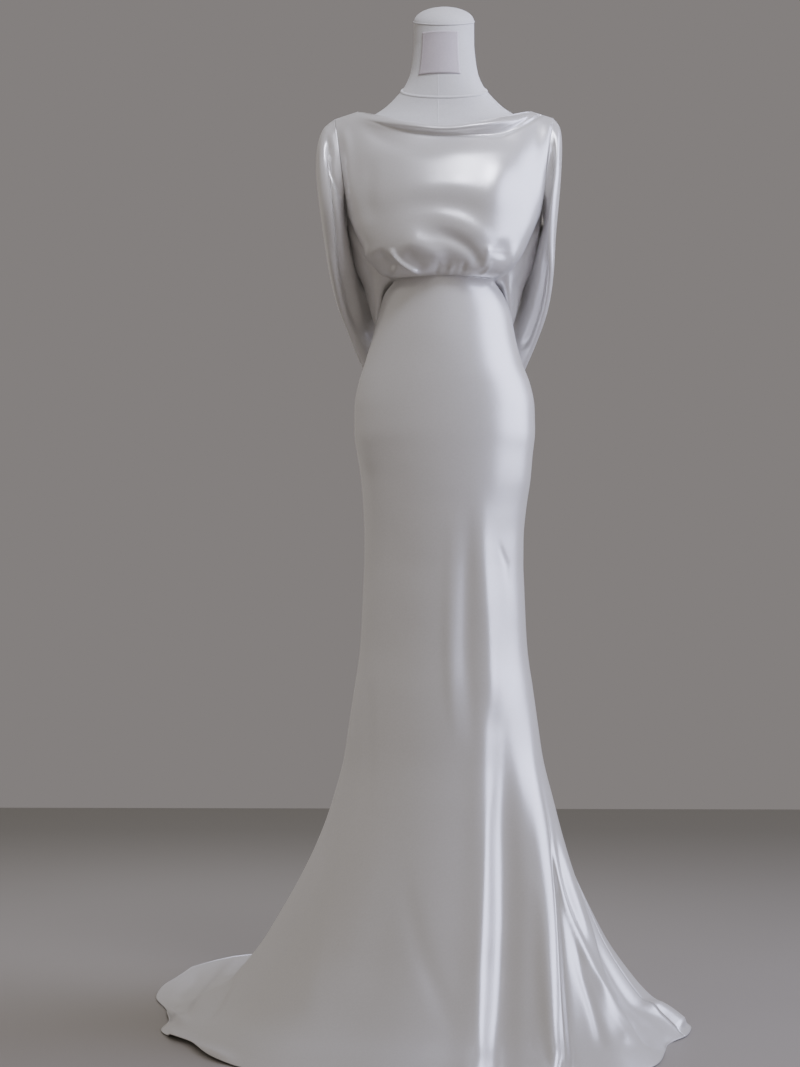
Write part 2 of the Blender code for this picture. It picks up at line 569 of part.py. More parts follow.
def build():
    clear_scene()
    satin = material("satin", (0.80, 0.79, 0.77), 0.32)
    jersey = material("form_cloth", (0.78, 0.78, 0.77), 0.85)
    cap_cloth = material("cap_cloth", (0.74, 0.74, 0.73), 0.70)
    card = material("label_card", (0.80, 0.79, 0.79), 0.60)
    metal = material("stand_metal", (0.62, 0.62, 0.62), 0.35, 0.8)
    edges = make_bodice(satin)
    make_sleeve("sleeve_right", 1, edges, satin)
    make_sleeve("sleeve_left", -1, edges, satin)
    skirt_panel("skirt_front", FRONT_LINES, satin)
    skirt_panel("skirt_back_right", RIGHT_BACK_LINES, satin)
    skirt_panel("skirt_back_left", LEFT_BACK_LINES, satin)
    make_form(jersey, cap_cloth, card)
    make_stand(metal)


build()
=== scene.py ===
# %% [markdown]
# A bias-cut satin wedding dress stands on a limbless dress form: a boat neckline that rolls
# over softly, a bodice that blouses over the waist seam, long empty sleeves drawn behind
# the back, and a narrow skirt that opens into a train. The solids of the part are loaded
# first and never moved. Every cloth surface is then built again over them, much finer.

import bpy
import numpy as np
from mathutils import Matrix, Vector


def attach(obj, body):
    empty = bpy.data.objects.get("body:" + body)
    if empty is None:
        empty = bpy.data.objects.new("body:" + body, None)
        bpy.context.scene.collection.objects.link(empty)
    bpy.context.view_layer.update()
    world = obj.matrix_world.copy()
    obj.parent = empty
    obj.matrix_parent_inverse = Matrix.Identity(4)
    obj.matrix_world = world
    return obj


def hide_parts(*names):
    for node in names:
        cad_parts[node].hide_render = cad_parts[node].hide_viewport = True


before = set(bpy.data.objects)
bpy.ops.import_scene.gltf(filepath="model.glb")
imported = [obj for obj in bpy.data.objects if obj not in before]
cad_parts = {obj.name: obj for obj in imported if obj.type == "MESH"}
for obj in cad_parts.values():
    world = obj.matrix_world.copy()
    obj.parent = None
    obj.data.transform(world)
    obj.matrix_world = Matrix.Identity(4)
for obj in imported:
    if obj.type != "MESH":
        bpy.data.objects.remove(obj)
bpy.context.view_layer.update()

print("nodes:", ", ".join(sorted(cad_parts)))

# %% [markdown]
# The photographer stood straight in front, at the height of the hips, and pointed the lens
# a little to the left, towards the train. A long lens keeps the dress free of distortion.

# %% Camera
VIEW_DISTANCE = 4.0        # from the lens to the middle of the dress
VIEW_HEIGHT = 0.857
AIM_LEFT = 0.01925         # metres to the left for each metre forwards
LENS = 77.12               # millimetres, for a sensor 36 mm high

camera_data = bpy.data.cameras.new("camera")
camera_data.sensor_fit = "VERTICAL"
camera_data.sensor_height = 36
camera_data.sensor_width = 36
camera_data.lens = LENS
camera = bpy.data.objects.new("camera", camera_data)
bpy.context.collection.objects.link(camera)
camera.location = (0, -VIEW_DISTANCE, VIEW_HEIGHT)
camera.rotation_euler = Vector((-AIM_LEFT, 1, 0)).to_track_quat("-Z", "Y").to_euler()
bpy.context.scene.camera = camera
print("the picture is", round(VIEW_DISTANCE * 36 / LENS, 2), "m high at the dress")

# %% [markdown]
# Panels of a dress are soft surfaces, so they are worked out from short tables: a few
# named sections or lines, with a smooth curve read between them. A monotone curve never
# swings past its points, and the other goes through evenly counted points in space.

# %% Soft curves
def soft(x, xs, ys):
    """Read, at x, a soft curve through the points (xs, ys) that never swings past them."""
    xs, ys = np.asarray(xs, float), np.asarray(ys, float)
    x = np.clip(x, xs[0], xs[-1])
    run = np.diff(xs)
    rise = np.diff(ys) / run
    before, after = rise[:-1], rise[1:]
    same_way = before * after > 0
    inner = np.where(same_way, 2 * before * after / np.where(same_way, before + after, 1), 0)
    tangent = np.concatenate(([rise[0]], inner, [rise[-1]]))
    i = np.clip(np.searchsorted(xs, x, side="right") - 1, 0, len(run) - 1)
    t = (x - xs[i]) / run[i]
    ends = ys[i] * (1 + 2 * t) * (1 - t) ** 2 + ys[i + 1] * t ** 2 * (3 - 2 * t)
    return ends + run[i] * (tangent[i] * t * (1 - t) ** 2 - tangent[i + 1] * t ** 2 * (1 - t))


def through(points, share):
    """Points at the given shares, 0 to 1, of a soft curve through evenly counted points."""
    points = np.asarray(points, float)
    last = len(points) - 1
    place = np.clip(np.asarray(share, float), 0, 1) * last
    i = np.minimum(place.astype(int), last - 1)
    t = (place - i).reshape((-1,) + (1,) * (points.ndim - 1))
    lean = np.gradient(points, axis=0)
    return (points[i] * (1 + 2 * t) * (1 - t) ** 2 + points[i + 1] * t ** 2 * (3 - 2 * t)
            + lean[i] * t * (1 - t) ** 2 - lean[i + 1] * t ** 2 * (1 - t))


def smooth_step(x):
    """A step from 0 to 1 that starts and ends softly."""
    x = np.clip(x, 0, 1)
    return x * x * (3 - 2 * x)


def unit(vectors):
    """The same directions, each one long."""
    return vectors / np.maximum(np.linalg.norm(vectors, axis=-1, keepdims=True), 1e-9)


def finer(values, times):
    """The same row of values with each step cut into equal smaller ones."""
    values = np.asarray(values, float)
    return np.interp(np.arange((len(values) - 1) * times + 1) / times, np.arange(len(values)), values)


print("a soft step at a quarter reads", smooth_step(0.25))

# %% [markdown]
# Creases in real cloth are laid one by one. Each is a soft line with a depth, a
# width at its start and end, and ends that fade out. Lines on the front are written in
# millimetres as the viewer sees them, on an upright sheet through the middle of the dress.
# The cloth moves in or out along its own direction, so the folds hold from any side.

# %% Crease tools
def as_seen(points):
    """Places in mm, across and up, on the upright sheet through the middle of the dress."""
    scale = VIEW_DISTANCE / (VIEW_DISTANCE + points[..., 1])
    up = VIEW_HEIGHT + (points[..., 2] - VIEW_HEIGHT) * scale
    return np.stack((points[..., 0] * scale, up), axis=-1) * 1000


def flat_on(points):
    """Places in mm, across and up, as on a flat drawing of the front or back."""
    return points[..., (0, 2)] * 1000


def along_line(places, line):
    """Distance to a soft line, share of the way along it, and whether a place is on its left."""
    path = through(line, np.linspace(0, 1, 28))
    nearest = np.full(places.shape[:-1], np.inf)
    share = np.zeros_like(nearest)
    on_left = np.zeros(nearest.shape, bool)
    for k, (start, run) in enumerate(zip(path[:-1], np.diff(path, axis=0))):
        from_start = places - start
        t = np.clip(from_start @ run / (run @ run), 0, 1)
        distance = np.linalg.norm(from_start - t[..., None] * run, axis=-1)
        closer = distance < nearest
        nearest = np.where(closer, distance, nearest)
        share = np.where(closer, (k + t) / (len(path) - 1), share)
        left = run[0] * from_start[..., 1] - run[1] * from_start[..., 0] > 0
        on_left = np.where(closer, left, on_left)
    return nearest, share, on_left


def crease_depth(places, line, deep, wide, ends=(.3, .3), left=1.0):
    """How far one crease moves the cloth out, in metres; deep and wide are in millimetres."""
    nearest, share, on_left = along_line(places, line)
    width = (wide[0] + (wide[1] - wide[0]) * share) * np.where(on_left, left, 1.0)
    fade = smooth_step(share / ends[0]) * smooth_step((1 - share) / ends[1])
    return deep / 1000 * fade * np.exp(-(nearest / width) ** 2)


def lay_creases(grid, normals, places, creases, mask=1.0):
    """The grid with every crease of a table laid in it."""
    out = np.zeros(grid.shape[:-1])
    for crease in creases.values():
        out += crease_depth(places, **crease)
    return grid + normals * (out * mask)[..., None]


def grid_normals(grid, closed=False):
    """Directions square to a grid whose rows run down and whose columns run across."""
    down = np.gradient(grid, axis=0)
    if closed:
        across = np.roll(grid, -1, axis=1) - np.roll(grid, 1, axis=1)
    else:
        across = np.gradient(grid, axis=1)
    return unit(np.cross(down, across))


BUST_FORWARD = 0.13        # how far the bust stands in front of the middle
print("a millimetre at the bust is seen as", round(VIEW_DISTANCE / (VIEW_DISTANCE - BUST_FORWARD), 3))

# %% [markdown]
# Satin is one thin cloth with two faces. Each piece is therefore a single fine sheet, and
# a Solidify modifier gives it its thickness inwards. The sheet also carries its own
# unrolled lengths in metres, so that threads keep their size everywhere on it.

# %% Cloth tools
CLOTH = 0.0009             # thickness of one layer of satin


def mesh_piece(name, points, faces, surface, uvs=None):
    """One smooth-shaded object made from points and faces, with one finish."""
    mesh = bpy.data.meshes.new(name)
    mesh.from_pydata(np.asarray(points, float).reshape(-1, 3).tolist(), [], faces)
    mesh.materials.append(surface)
    mesh.shade_smooth()
    if uvs is not None:
        layer = mesh.uv_layers.new(name="unrolled")
        corners = np.array([v for face in faces for v in face])
        layer.data.foreach_set("uv", np.asarray(uvs, float).reshape(-1, 2)[corners].ravel())
    piece = bpy.data.objects.new(name, mesh)
    bpy.context.collection.objects.link(piece)
    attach(piece, "root")
    return piece


def unrolled(grid):
    """Lengths along the grid in metres: across at its middle row, and down each column."""
    across = np.linalg.norm(np.diff(grid[len(grid) // 2], axis=0), axis=-1)
    down = np.linalg.norm(np.diff(grid, axis=0), axis=-1)
    u = np.concatenate(([0], np.cumsum(across)))
    v = np.concatenate((np.zeros((1, grid.shape[1])), np.cumsum(down, axis=0)))
    return np.stack((np.broadcast_to(u, v.shape), -v), axis=-1)


def grid_faces(rows, columns, closed, flip):
    """The four-sided faces between the points of a grid, row by row."""
    faces = []
    for r in range(rows - 1):
        for c in range(columns if closed else columns - 1):
            after = (c + 1) % columns
            quad = (r * columns + c, (r + 1) * columns + c, (r + 1) * columns + after, r * columns + after)
            faces.append(quad[::-1] if flip else quad)
    return faces


def cloth_sheet(name, grid, surface, inside, closed=False, thick=CLOTH):
    """A sheet of cloth on a grid of points; inside is a point that its back looks at."""
    rows, columns = grid.shape[:2]
    outward = (grid_normals(grid, closed) * (grid - np.asarray(inside))).sum()
    faces = grid_faces(rows, columns, closed, flip=outward < 0)
    piece = mesh_piece(name, grid, faces, surface, unrolled(grid))
    wall = piece.modifiers.new("cloth thickness", "SOLIDIFY")
    wall.thickness = thick
    wall.offset = -1
    return piece


def edge_roll(name, path, radius, surface, closed=False, sides=8):
    """A thin rolled edge: a round cord of cloth along a path of points."""
    path = np.asarray(path, float)
    if closed:
        ahead = unit(np.roll(path, -1, axis=0) - np.roll(path, 1, axis=0))
    else:
        ahead = unit(np.gradient(path, axis=0))
    side = unit(np.cross(ahead, (0.03, 0.02, 1)))
    up = np.cross(side, ahead)
    turns = np.linspace(0, 2 * np.pi, sides, endpoint=False)
    ring = np.cos(turns)[None, :, None] * side[:, None] + np.sin(turns)[None, :, None] * up[:, None]
    points = path[:, None] + radius * ring
    count = len(path)
    faces = []
    for r in range(count if closed else count - 1):
        here, there = r * sides, ((r + 1) % count) * sides
        for s in range(sides):
            after = (s + 1) % sides
            faces.append((here + s, there + s, there + after, here + after))
    if not closed:
        faces += [tuple(range(sides)), tuple((count - 1) * sides + s for s in reversed(range(sides)))]
    return mesh_piece(name, points, faces, surface, points.reshape(-1, 3)[:, :2])


print("one layer of satin is", CLOTH * 1000, "mm thick")

# %% [markdown]
# Two effects are used by more than one finish, so each is a node group. The first drifts
# slowly between two tones, as any cloth does under soft light. The second draws fine
# threads: noise stretched along the weft, a crossing set along the warp, and a soft
# handling ripple below them. A group gives out only values that change over the surface.

# %% Shared effects
def new_group(name, inputs, outputs):
    """An empty shader group with its named inputs and outputs."""
    group = bpy.data.node_groups.new(name, "ShaderNodeTree")
    for label, kind, value in inputs:
        socket = group.interface.new_socket(label, in_out="INPUT", socket_type=kind)
        socket.default_value = value
    for label, kind in outputs:
        group.interface.new_socket(label, in_out="OUTPUT", socket_type=kind)
    return group, group.nodes.new("NodeGroupInput"), group.nodes.new("NodeGroupOutput")


def add_node(tree, kind, links=(), **settings):
    """A node with its settings made and its inputs linked or filled, by socket name or number."""
    node = tree.nodes.new(kind)
    for label, value in settings.items():
        setattr(node, label, value)
    for socket, source in dict(links).items():
        if isinstance(source, bpy.types.NodeSocket):
            tree.links.new(source, node.inputs[socket])
        else:
            node.inputs[socket].default_value = source
    return node


COLOUR, NUMBER, DIRECTION = "NodeSocketColor", "NodeSocketFloat", "NodeSocketVector"


def make_drift():
    """Two tones of one colour that drift into each other over a hand's width."""
    group, given, gives = new_group(
        "tone drift",
        [("Light tone", COLOUR, (.8, .8, .8, 1)), ("Deep tone", COLOUR, (.7, .7, .7, 1)),
         ("Patches per metre", NUMBER, 4.0), ("Specks per metre", NUMBER, 300.0)],
        [("Colour", COLOUR), ("Mask", NUMBER)])
    place = add_node(group, "ShaderNodeTexCoord").outputs["Object"]
    broad = add_node(group, "ShaderNodeTexNoise",
                     {"Vector": place, "Scale": given.outputs["Patches per metre"], "Detail": 3.0})
    specks = add_node(group, "ShaderNodeTexNoise",
                      {"Vector": place, "Scale": given.outputs["Specks per metre"], "Detail": 2.0})
    both = add_node(group, "ShaderNodeMath", {0: broad.outputs["Fac"], 1: specks.outputs["Fac"]},
                    operation="ADD")
    mask = add_node(group, "ShaderNodeMapRange",
                    {"Value": both.outputs[0], "From Min": .75, "From Max": 1.25})
    tone = add_node(group, "ShaderNodeMix",
                    {"Factor": mask.outputs[0], 6: given.outputs["Deep tone"],
                     7: given.outputs["Light tone"]}, data_type="RGBA")
    group.links.new(tone.outputs[2], gives.inputs["Colour"])
    group.links.new(mask.outputs[0], gives.inputs["Mask"])
    return group


def make_threads():
    """Fine crossing threads on the unrolled cloth, over a slow ripple."""
    group, given, gives = new_group(
        "crossing threads",
        [("Threads per metre", NUMBER, 1400.0), ("Stretch", NUMBER, 14.0),
         ("Thread height", NUMBER, .0001), ("Ripple height", NUMBER, .001),
         ("Ripples per metre", NUMBER, 9.0), ("Gloss", NUMBER, .34), ("Gloss change", NUMBER, .06)],
        [("Roughness", NUMBER), ("Normal", DIRECTION)])
    coordinates = add_node(group, "ShaderNodeTexCoord")
    fields = []
    for turn in (0, np.pi / 2):
        laid = add_node(group, "ShaderNodeMapping",
                        {"Vector": coordinates.outputs["UV"], "Rotation": (0, 0, turn)})
        split = add_node(group, "ShaderNodeSeparateXYZ", {0: laid.outputs[0]})
        longer = add_node(group, "ShaderNodeMath",
                          {0: split.outputs["X"], 1: given.outputs["Stretch"]}, operation="DIVIDE")
        joined = add_node(group, "ShaderNodeCombineXYZ", {0: longer.outputs[0], 1: split.outputs["Y"]})
        field = add_node(group, "ShaderNodeTexNoise",
                         {"Vector": joined.outputs[0], "Scale": given.outputs["Threads per metre"],
                          "Detail": 2.0})
        fields.append(field.outputs["Fac"])
    threads = add_node(group, "ShaderNodeMath", {0: fields[0], 1: fields[1]}, operation="ADD")
    ripple = add_node(group, "ShaderNodeTexNoise",
                      {"Vector": coordinates.outputs["Object"], "Detail": 1.0,
                       "Scale": given.outputs["Ripples per metre"]})
    low = add_node(group, "ShaderNodeBump",
                   {"Height": ripple.outputs["Fac"], "Distance": given.outputs["Ripple height"]})
    high = add_node(group, "ShaderNodeBump",
                    {"Height": threads.outputs[0], "Distance": given.outputs["Thread height"],
                     "Normal": low.outputs[0]})
    change = add_node(group, "ShaderNodeMath",
                      {0: ripple.outputs["Fac"], 1: given.outputs["Gloss change"],
                       2: given.outputs["Gloss"]}, operation="MULTIPLY_ADD")
    group.links.new(change.outputs[0], gives.inputs["Roughness"])
    group.links.new(high.outputs[0], gives.inputs["Normal"])
    return group


drift, threads = make_drift(), make_threads()
print("shared effects:", drift.name, "and", threads.name)

# %% [markdown]
# Satin is glossy along its floating threads, so its highlights are broad, soft and bright,
# and its shaded side stays clean. A smooth shader with a strong but spread reflection and
# a little sheen at the edges reads as heavy silk satin. Its metallic value is near a half,
# because the threads mirror the room more than the fibre alone would. The form's cover is
# a matt knit, the label a plain card, and the stand a brushed metal.

# %% Finishes
def finish_of(name, light, deep, patches, thread_values, **shader_values):
    """A material with both shared effects in it and its own numbers on the shader."""
    made = bpy.data.materials.new(name)
    made.use_nodes = True
    tree = made.node_tree
    shader = tree.nodes["Principled BSDF"]
    tone = add_node(tree, "ShaderNodeGroup", node_tree=drift)
    tone.inputs["Light tone"].default_value = (*light, 1)
    tone.inputs["Deep tone"].default_value = (*deep, 1)
    tone.inputs["Patches per metre"].default_value = patches
    weave = add_node(tree, "ShaderNodeGroup", node_tree=threads)
    for label, value in thread_values.items():
        weave.inputs[label].default_value = value
    tree.links.new(tone.outputs["Colour"], shader.inputs["Base Color"])
    tree.links.new(weave.outputs["Roughness"], shader.inputs["Roughness"])
    tree.links.new(weave.outputs["Normal"], shader.inputs["Normal"])
    for label, value in shader_values.items():
        shader.inputs[label.replace("_", " ")].default_value = value
    return made


satin = finish_of("satin", (.84, .83, .82), (.80, .79, .775), 5,
                  {"Threads per metre": 1500, "Thread height": .00006, "Ripple height": .0016,
                   "Gloss": .28, "Gloss change": .05},
                  Metallic=.45, Specular_IOR_Level=.6, Sheen_Weight=.06, Sheen_Roughness=.35)
form_cloth = finish_of("form_cloth", (.84, .84, .84), (.78, .78, .775), 9,
                       {"Threads per metre": 900, "Stretch": 3, "Thread height": .00035,
                        "Ripple height": .0006, "Gloss": .72, "Gloss change": .1},
                       Sheen_Weight=.25, Sheen_Roughness=.5)
cap_cloth = finish_of("cap_cloth", (.80, .80, .80), (.73, .73, .73), 20,
                      {"Threads per metre": 900, "Stretch": 5, "Thread height": .0003,
                       "Ripple height": .0008, "Gloss": .55, "Gloss change": .1},
                      Sheen_Weight=.2, Sheen_Roughness=.5)
label_card = finish_of("label_card", (.72, .66, .70), (.67, .61, .65), 30,
                       {"Threads per metre": 1200, "Stretch": 6, "Thread height": .0002,
                        "Ripple height": .0003, "Gloss": .6, "Gloss change": .1},
                       Sheen_Weight=.1)
sewing_thread = finish_of("sewing_thread", (.78, .78, .77), (.68, .68, .67), 60,
                          {"Threads per metre": 2500, "Stretch": 4, "Thread height": .0001,
                           "Ripple height": 0, "Gloss": .6, "Gloss change": .1},
                          Sheen_Weight=.2)
stand_metal = finish_of("stand_metal", (.66, .66, .66), (.55, .55, .55), 12,
                        {"Threads per metre": 800, "Stretch": 60, "Thread height": .00004,
                         "Ripple height": 0, "Gloss": .28, "Gloss change": .14},
                        Metallic=.9, Anisotropic=.5)
print("finishes:", [m.name for m in (satin, form_cloth, cap_cloth, label_card, sewing_thread, stand_metal)])

# %% [markdown]
# The skirt is one surface, read by angle round the body and by row from waist to hem.
# Above the knee it follows the half-widths of its sections. Below, each line of cloth
# falls outwards to its own place on the floor, and swings round towards the train. Big
# flutes start at their own heights and grow as they go down.

# %% Skirt tables
GAP = 0.0003
WAIST_HEIGHT, WAIST_WIDE, WAIST_DEEP = 1.297, 0.0875, 0.0925
KNEE_HEIGHT, FITTED_SHARE = 0.80, 0.46
SWING_HEIGHT, SWING_EASE = 0.68, 1.3
FLOOR_LIFT = 0.0021
RIGHT_SEAM, LEFT_SEAM, BACK_SEAM = 18, -198, 90
SKIRT_ROWS = np.concatenate(((0, 0.016, 0.040), np.linspace(0.075, 1, 21)))

SKIRT_SECTIONS = {
    "height": (0.80, 0.85, 0.90, 0.951, 0.996, 1.036, 1.079, 1.116, 1.156, 1.197, 1.243, 1.274, 1.297),
    "left": (.1395, .139, .141, .145, .152, .157, .1565, .1505, .138, .126, .1135, .1045, WAIST_WIDE),
    "right": (.1385, .139, .1435, .151, .155, .159, .158, .151, .136, .125, .116, .103, WAIST_WIDE),
    "front": (.112, .112, .1125, .114, .115, .116, .1155, .114, .111, .107, .101, .0965, WAIST_DEEP),
    "back": (.110, .1115, .115, .121, .127, .131, .130, .126, .119, .110, .101, .0965, WAIST_DEEP),
}
FALL = {
    "height": (0.80, 0.66, 0.588, 0.52, 0.464, 0.40, 0.353, 0.299, 0.25, 0.197,
               0.148, 0.103, 0.066, 0.046, 0.025, 0.010, FLOOR_LIFT),
    "reach": (0, .02, .05, .08, .105, .155, .20, .265, .335, .42, .505, .61, .715, .79, .895, .965, 1),
}
TRAIN_FALL = {
    "height": (0.80, 0.66, 0.57, 0.49, 0.42, 0.35, 0.295, 0.235, 0.185, 0.135,
               0.092, 0.056, 0.030, 0.016, 0.008, 0.004, FLOOR_LIFT),
    "reach": (0, .02, .045, .08, .115, .165, .215, .28, .35, .43, .515, .61, .705, .79, .89, .955, 1),
}
HEM = {
    "angle": (-225, -214, -202, -189, -178, -167, -155, -135.5, -112, -90, -73, -58, -45, -32,
              -18, -6, 5, 15, 36, 56, 76, 98, 121, 135),
    "radius": (.711, .648, .560, .500, .480, .484, .472, .474, .455, .440, .455, .470, .466, .443,
               .428, .424, .392, .374, .426, .541, .638, .690, .726, .711),
}
TRAIN_SHARE = {"angle": (-198, -180, 20, 60, 135), "share": (1, 0, 0, 1, 1)}
SWING = {
    "knee": (-198, -180, -150, -120, -90, -60, -35, -12, 5, 14, 24, 40, 60, 90, 130, 162),
    "floor": (-190, -177, -156, -126, -97, -83, -75, -67, -52, -22, -7, 10, 50, 97, 140, 170),
}
FOLDS = {
    "inner ridge": {"angle": -64, "width": 9, "depth": .010, "top": 0.95},
    "trough beside it": {"angle": -50, "width": 10, "depth": -.016, "top": 0.75},
    "outer ridge": {"angle": -19, "width": 8, "depth": .012, "top": 0.60},
    "deep crease": {"angle": -11, "width": 3, "depth": -.018, "top": 0.46},
    "front layer's edge": {"angle": 4, "width": 5, "depth": .012, "top": 0.45},
    "seam trough": {"angle": 13, "width": 4, "depth": -.022, "top": 0.45},
    "side wave": {"angle": 33, "width": 8, "depth": .014, "top": 0.45},
    "back trough": {"angle": 50, "width": 9, "depth": -.020, "top": 0.55},
    "back wave": {"angle": 70, "width": 9, "depth": .020, "top": 0.55},
    "centre-back trough": {"angle": 90, "width": 9, "depth": -.016, "top": 0.60},
    "train wave": {"angle": 112, "width": 10, "depth": .022, "top": 0.55},
    "train trough": {"angle": 132, "width": 9, "depth": -.020, "top": 0.50},
    "left back wave": {"angle": 150, "width": 8, "depth": .014, "top": 0.50},
    "left side wave": {"angle": -172, "width": 8, "depth": .010, "top": 0.40},
    "left trough": {"angle": -150, "width": 11, "depth": -.014, "top": 0.62},
    "left front trough": {"angle": -108, "width": 10, "depth": -.008, "top": 0.45},
}
FRONT_LINES = (LEFT_SEAM, -184, -168, -152, -136, -121, -106, -93, -81, -71, -62, -54, -47, -40,
               -33, -26, -20, -15, -12.5, -10, -6, -2, 2, 6, 10, 14, RIGHT_SEAM)
RIGHT_BACK_LINES = (RIGHT_SEAM, 22, 26, 33, 41, 50, 60, 70, 80, BACK_SEAM)
LEFT_BACK_LINES = (BACK_SEAM, 101, 112, 122, 132, 141, 150, 156, LEFT_SEAM + 360)
print(len(FOLDS), "flutes from the knee down")

# %% Skirt surface
def skirt_section(height):
    """How far the skirt reaches to each of its four sides at a height."""
    return [soft(height, SKIRT_SECTIONS["height"], SKIRT_SECTIONS[side])
            for side in ("left", "right", "front", "back")]


def skirt_point(line, row):
    """Outer surface of the skirt: line is the angle at the knee, row runs 0 at the waist to 1."""
    line, row = np.broadcast_arrays(np.asarray(line, float), np.asarray(row, float))
    above = WAIST_HEIGHT + (KNEE_HEIGHT - WAIST_HEIGHT) * row / FITTED_SHARE
    below = np.clip((row - FITTED_SHARE) / (1 - FITTED_SHARE), 0, 1)
    count = np.linspace(0, 1, len(FALL["height"]))
    floor_angle = soft(line, SWING["knee"], SWING["floor"])
    hem_angle = (floor_angle - HEM["angle"][0]) % 360 + HEM["angle"][0]
    train = soft(hem_angle, TRAIN_SHARE["angle"], TRAIN_SHARE["share"])
    fall_height, fall_reach = (soft(below, count, FALL[k]) for k in ("height", "reach"))
    train_height, train_reach = (soft(below, count, TRAIN_FALL[k]) for k in ("height", "reach"))
    height = np.where(row < FITTED_SHARE, above, fall_height + train * (train_height - fall_height))
    reach = fall_reach + train * (train_reach - fall_reach)
    turn = np.clip((SWING_HEIGHT - height) / SWING_HEIGHT, 0, 1) ** SWING_EASE
    angle = np.radians(line)
    left, right, front, back = skirt_section(height)
    side = np.where(np.cos(angle) > 0, right, left)
    depth = np.where(np.sin(angle) > 0, back, front)
    body = np.hypot(side * np.cos(angle), depth * np.sin(angle))
    way = np.arctan2(depth * np.sin(angle), side * np.cos(angle))
    way = line + (np.degrees(way) - line + 180) % 360 - 180
    now = np.radians(way + turn * (floor_angle - way))
    hem = soft(hem_angle, HEM["angle"], HEM["radius"])
    radius = body + (hem - body) * reach
    for fold in FOLDS.values():
        off = (line - fold["angle"] + 180) % 360 - 180
        growth = smooth_step((fold["top"] - height) / fold["top"])
        radius = radius + fold["depth"] * growth * np.exp(-(off / fold["width"]) ** 2)
    return np.stack((radius * np.cos(now), radius * np.sin(now), height), axis=-1)


print("front of the hem:", skirt_point(-90, 1).round(3))

# %% [markdown]
# On the skirt's front the satin hangs almost smooth to the thigh. From there one long
# ridge of light runs down to the hem, with a second ridge, a dark valley and a deep crease
# beside it, and the front layer's edge folds over the fuller cloth behind. The unseen back
# gets falls of its own, as uneven as those in front.

# %% Creases of the skirt
FRONT_SKIRT_CREASES = {
    "long ridge above": {"line": ((60, 968), (66, 846), (75, 723), (84, 601), (93, 504)),
                         "deep": 5.5, "wide": (18, 17), "ends": (.5, .25)},
    "long ridge below": {"line": ((84, 583), (91, 487), (79, 338), (70, 216), (63, 111), (63, 6),
                                  (65, -82)),
                         "deep": 1.5, "wide": (10, 12), "ends": (.3, .05)},
    "thigh ridge": {"line": ((21, 933), (14, 811), (10, 671), (14, 566), (24, 478)),
                    "deep": 3.0, "wide": (14, 10), "ends": (.45, .4)},
    "faint valley": {"line": ((46, 916), (42, 811), (40, 671), (46, 548), (56, 426)),
                     "deep": -4.0, "wide": (12, 15), "ends": (.4, .45)},
    "dark valley": {"line": ((136, 583), (119, 461), (110, 356), (107, 216), (105, 111),
                             (107, -29), (110, -91)),
                    "deep": -8.0, "wide": (24, 44), "ends": (.4, .05)},
    "small tuck": {"line": ((93, 846), (108, 807), (124, 767)),
                   "deep": -1.6, "wide": (4, 4), "ends": (.4, .4)},
    "second ridge": {"line": ((140, 531), (154, 426), (164, 338), (173, 233), (180, 128),
                              (187, 23), (196, -82)),
                     "deep": 7.0, "wide": (44, 9), "ends": (.4, .05)},
    "deep crease": {"line": ((175, 391), (186, 303), (194, 216), (200, 128), (205, 41),
                             (215, -82)),
                    "deep": -4.0, "wide": (3.5, 4.5), "ends": (.3, .05), "left": 1.4},
    "layer edge": {"line": ((168, 417), (180, 338), (194, 268), (214, 198), (238, 137), (270, 76),
                            (304, 20), (346, -26)),
                   "deep": 4.0, "wide": (4, 5), "ends": (.25, .1), "left": 2.4},
    "behind the edge": {"line": ((182, 364), (196, 303), (217, 228), (245, 163), (280, 100),
                                 (318, 44), (360, 2)),
                        "deep": -5.0, "wide": (6, 9), "ends": (.3, .15)},
    "left valley": {"line": ((-136, 644), (-133, 548), (-136, 443), (-150, 303)),
                    "deep": -2.2, "wide": (9, 14), "ends": (.4, .5)},
    "left ridge": {"line": ((-161, 461), (-186, 286), (-220, 111), (-252, -29)),
                   "deep": 2.0, "wide": (14, 24), "ends": (.4, .2)},
    "low valley": {"line": ((-77, 303), (-63, 216), (-42, 128), (-7, 41), (21, -47)),
                   "deep": -2.0, "wide": (14, 20), "ends": (.45, .3)},
    "fan fold, inner": {"line": ((224, 163), (240, 93), (262, 23), (280, -47)),
                        "deep": -4.0, "wide": (7, 11), "ends": (.4, .1)},
    "fan fold, middle": {"line": ((259, 97), (287, 37), (329, -38)),
                         "deep": 5.0, "wide": (7, 11), "ends": (.4, .1)},
    "fan fold, outer": {"line": ((294, 58), (332, 2), (371, -40)),
                        "deep": -4.0, "wide": (5, 9), "ends": (.3, .2)},
    "corner tip": {"line": ((343, 41), (382, 23), (420, -5)),
                   "deep": 13.0, "wide": (8, 8), "ends": (.35, .1)},
    "corner hollow": {"line": ((343, -15), (371, -29), (406, -36)),
                      "deep": -5.0, "wide": (9, 9), "ends": (.3, .3)},
    "train fold": {"line": ((-357, 119), (-388, 79), (-420, 41), (-444, 16)),
                   "deep": 9.0, "wide": (9, 9), "ends": (.3, .2)},
    "train crease": {"line": ((-357, 97), (-382, 58), (-402, 23), (-434, -5)),
                     "deep": -7.0, "wide": (5, 8), "ends": (.3, .3)},
    "train tip": {"line": ((-483, -19), (-455, -35), (-406, -54), (-357, -71)),
                  "deep": 8.0, "wide": (9, 9), "ends": (.1, .3)},
    "dog ear": {"line": ((-486, 20), (-469, 9), (-444, -5)),
                "deep": 9.0, "wide": (7, 6), "ends": (.2, .3)},
    "train hollow": {"line": ((-418, 90), (-452, 62), (-476, 34)),
                     "deep": -6.0, "wide": (9, 9), "ends": (.3, .3)},
}
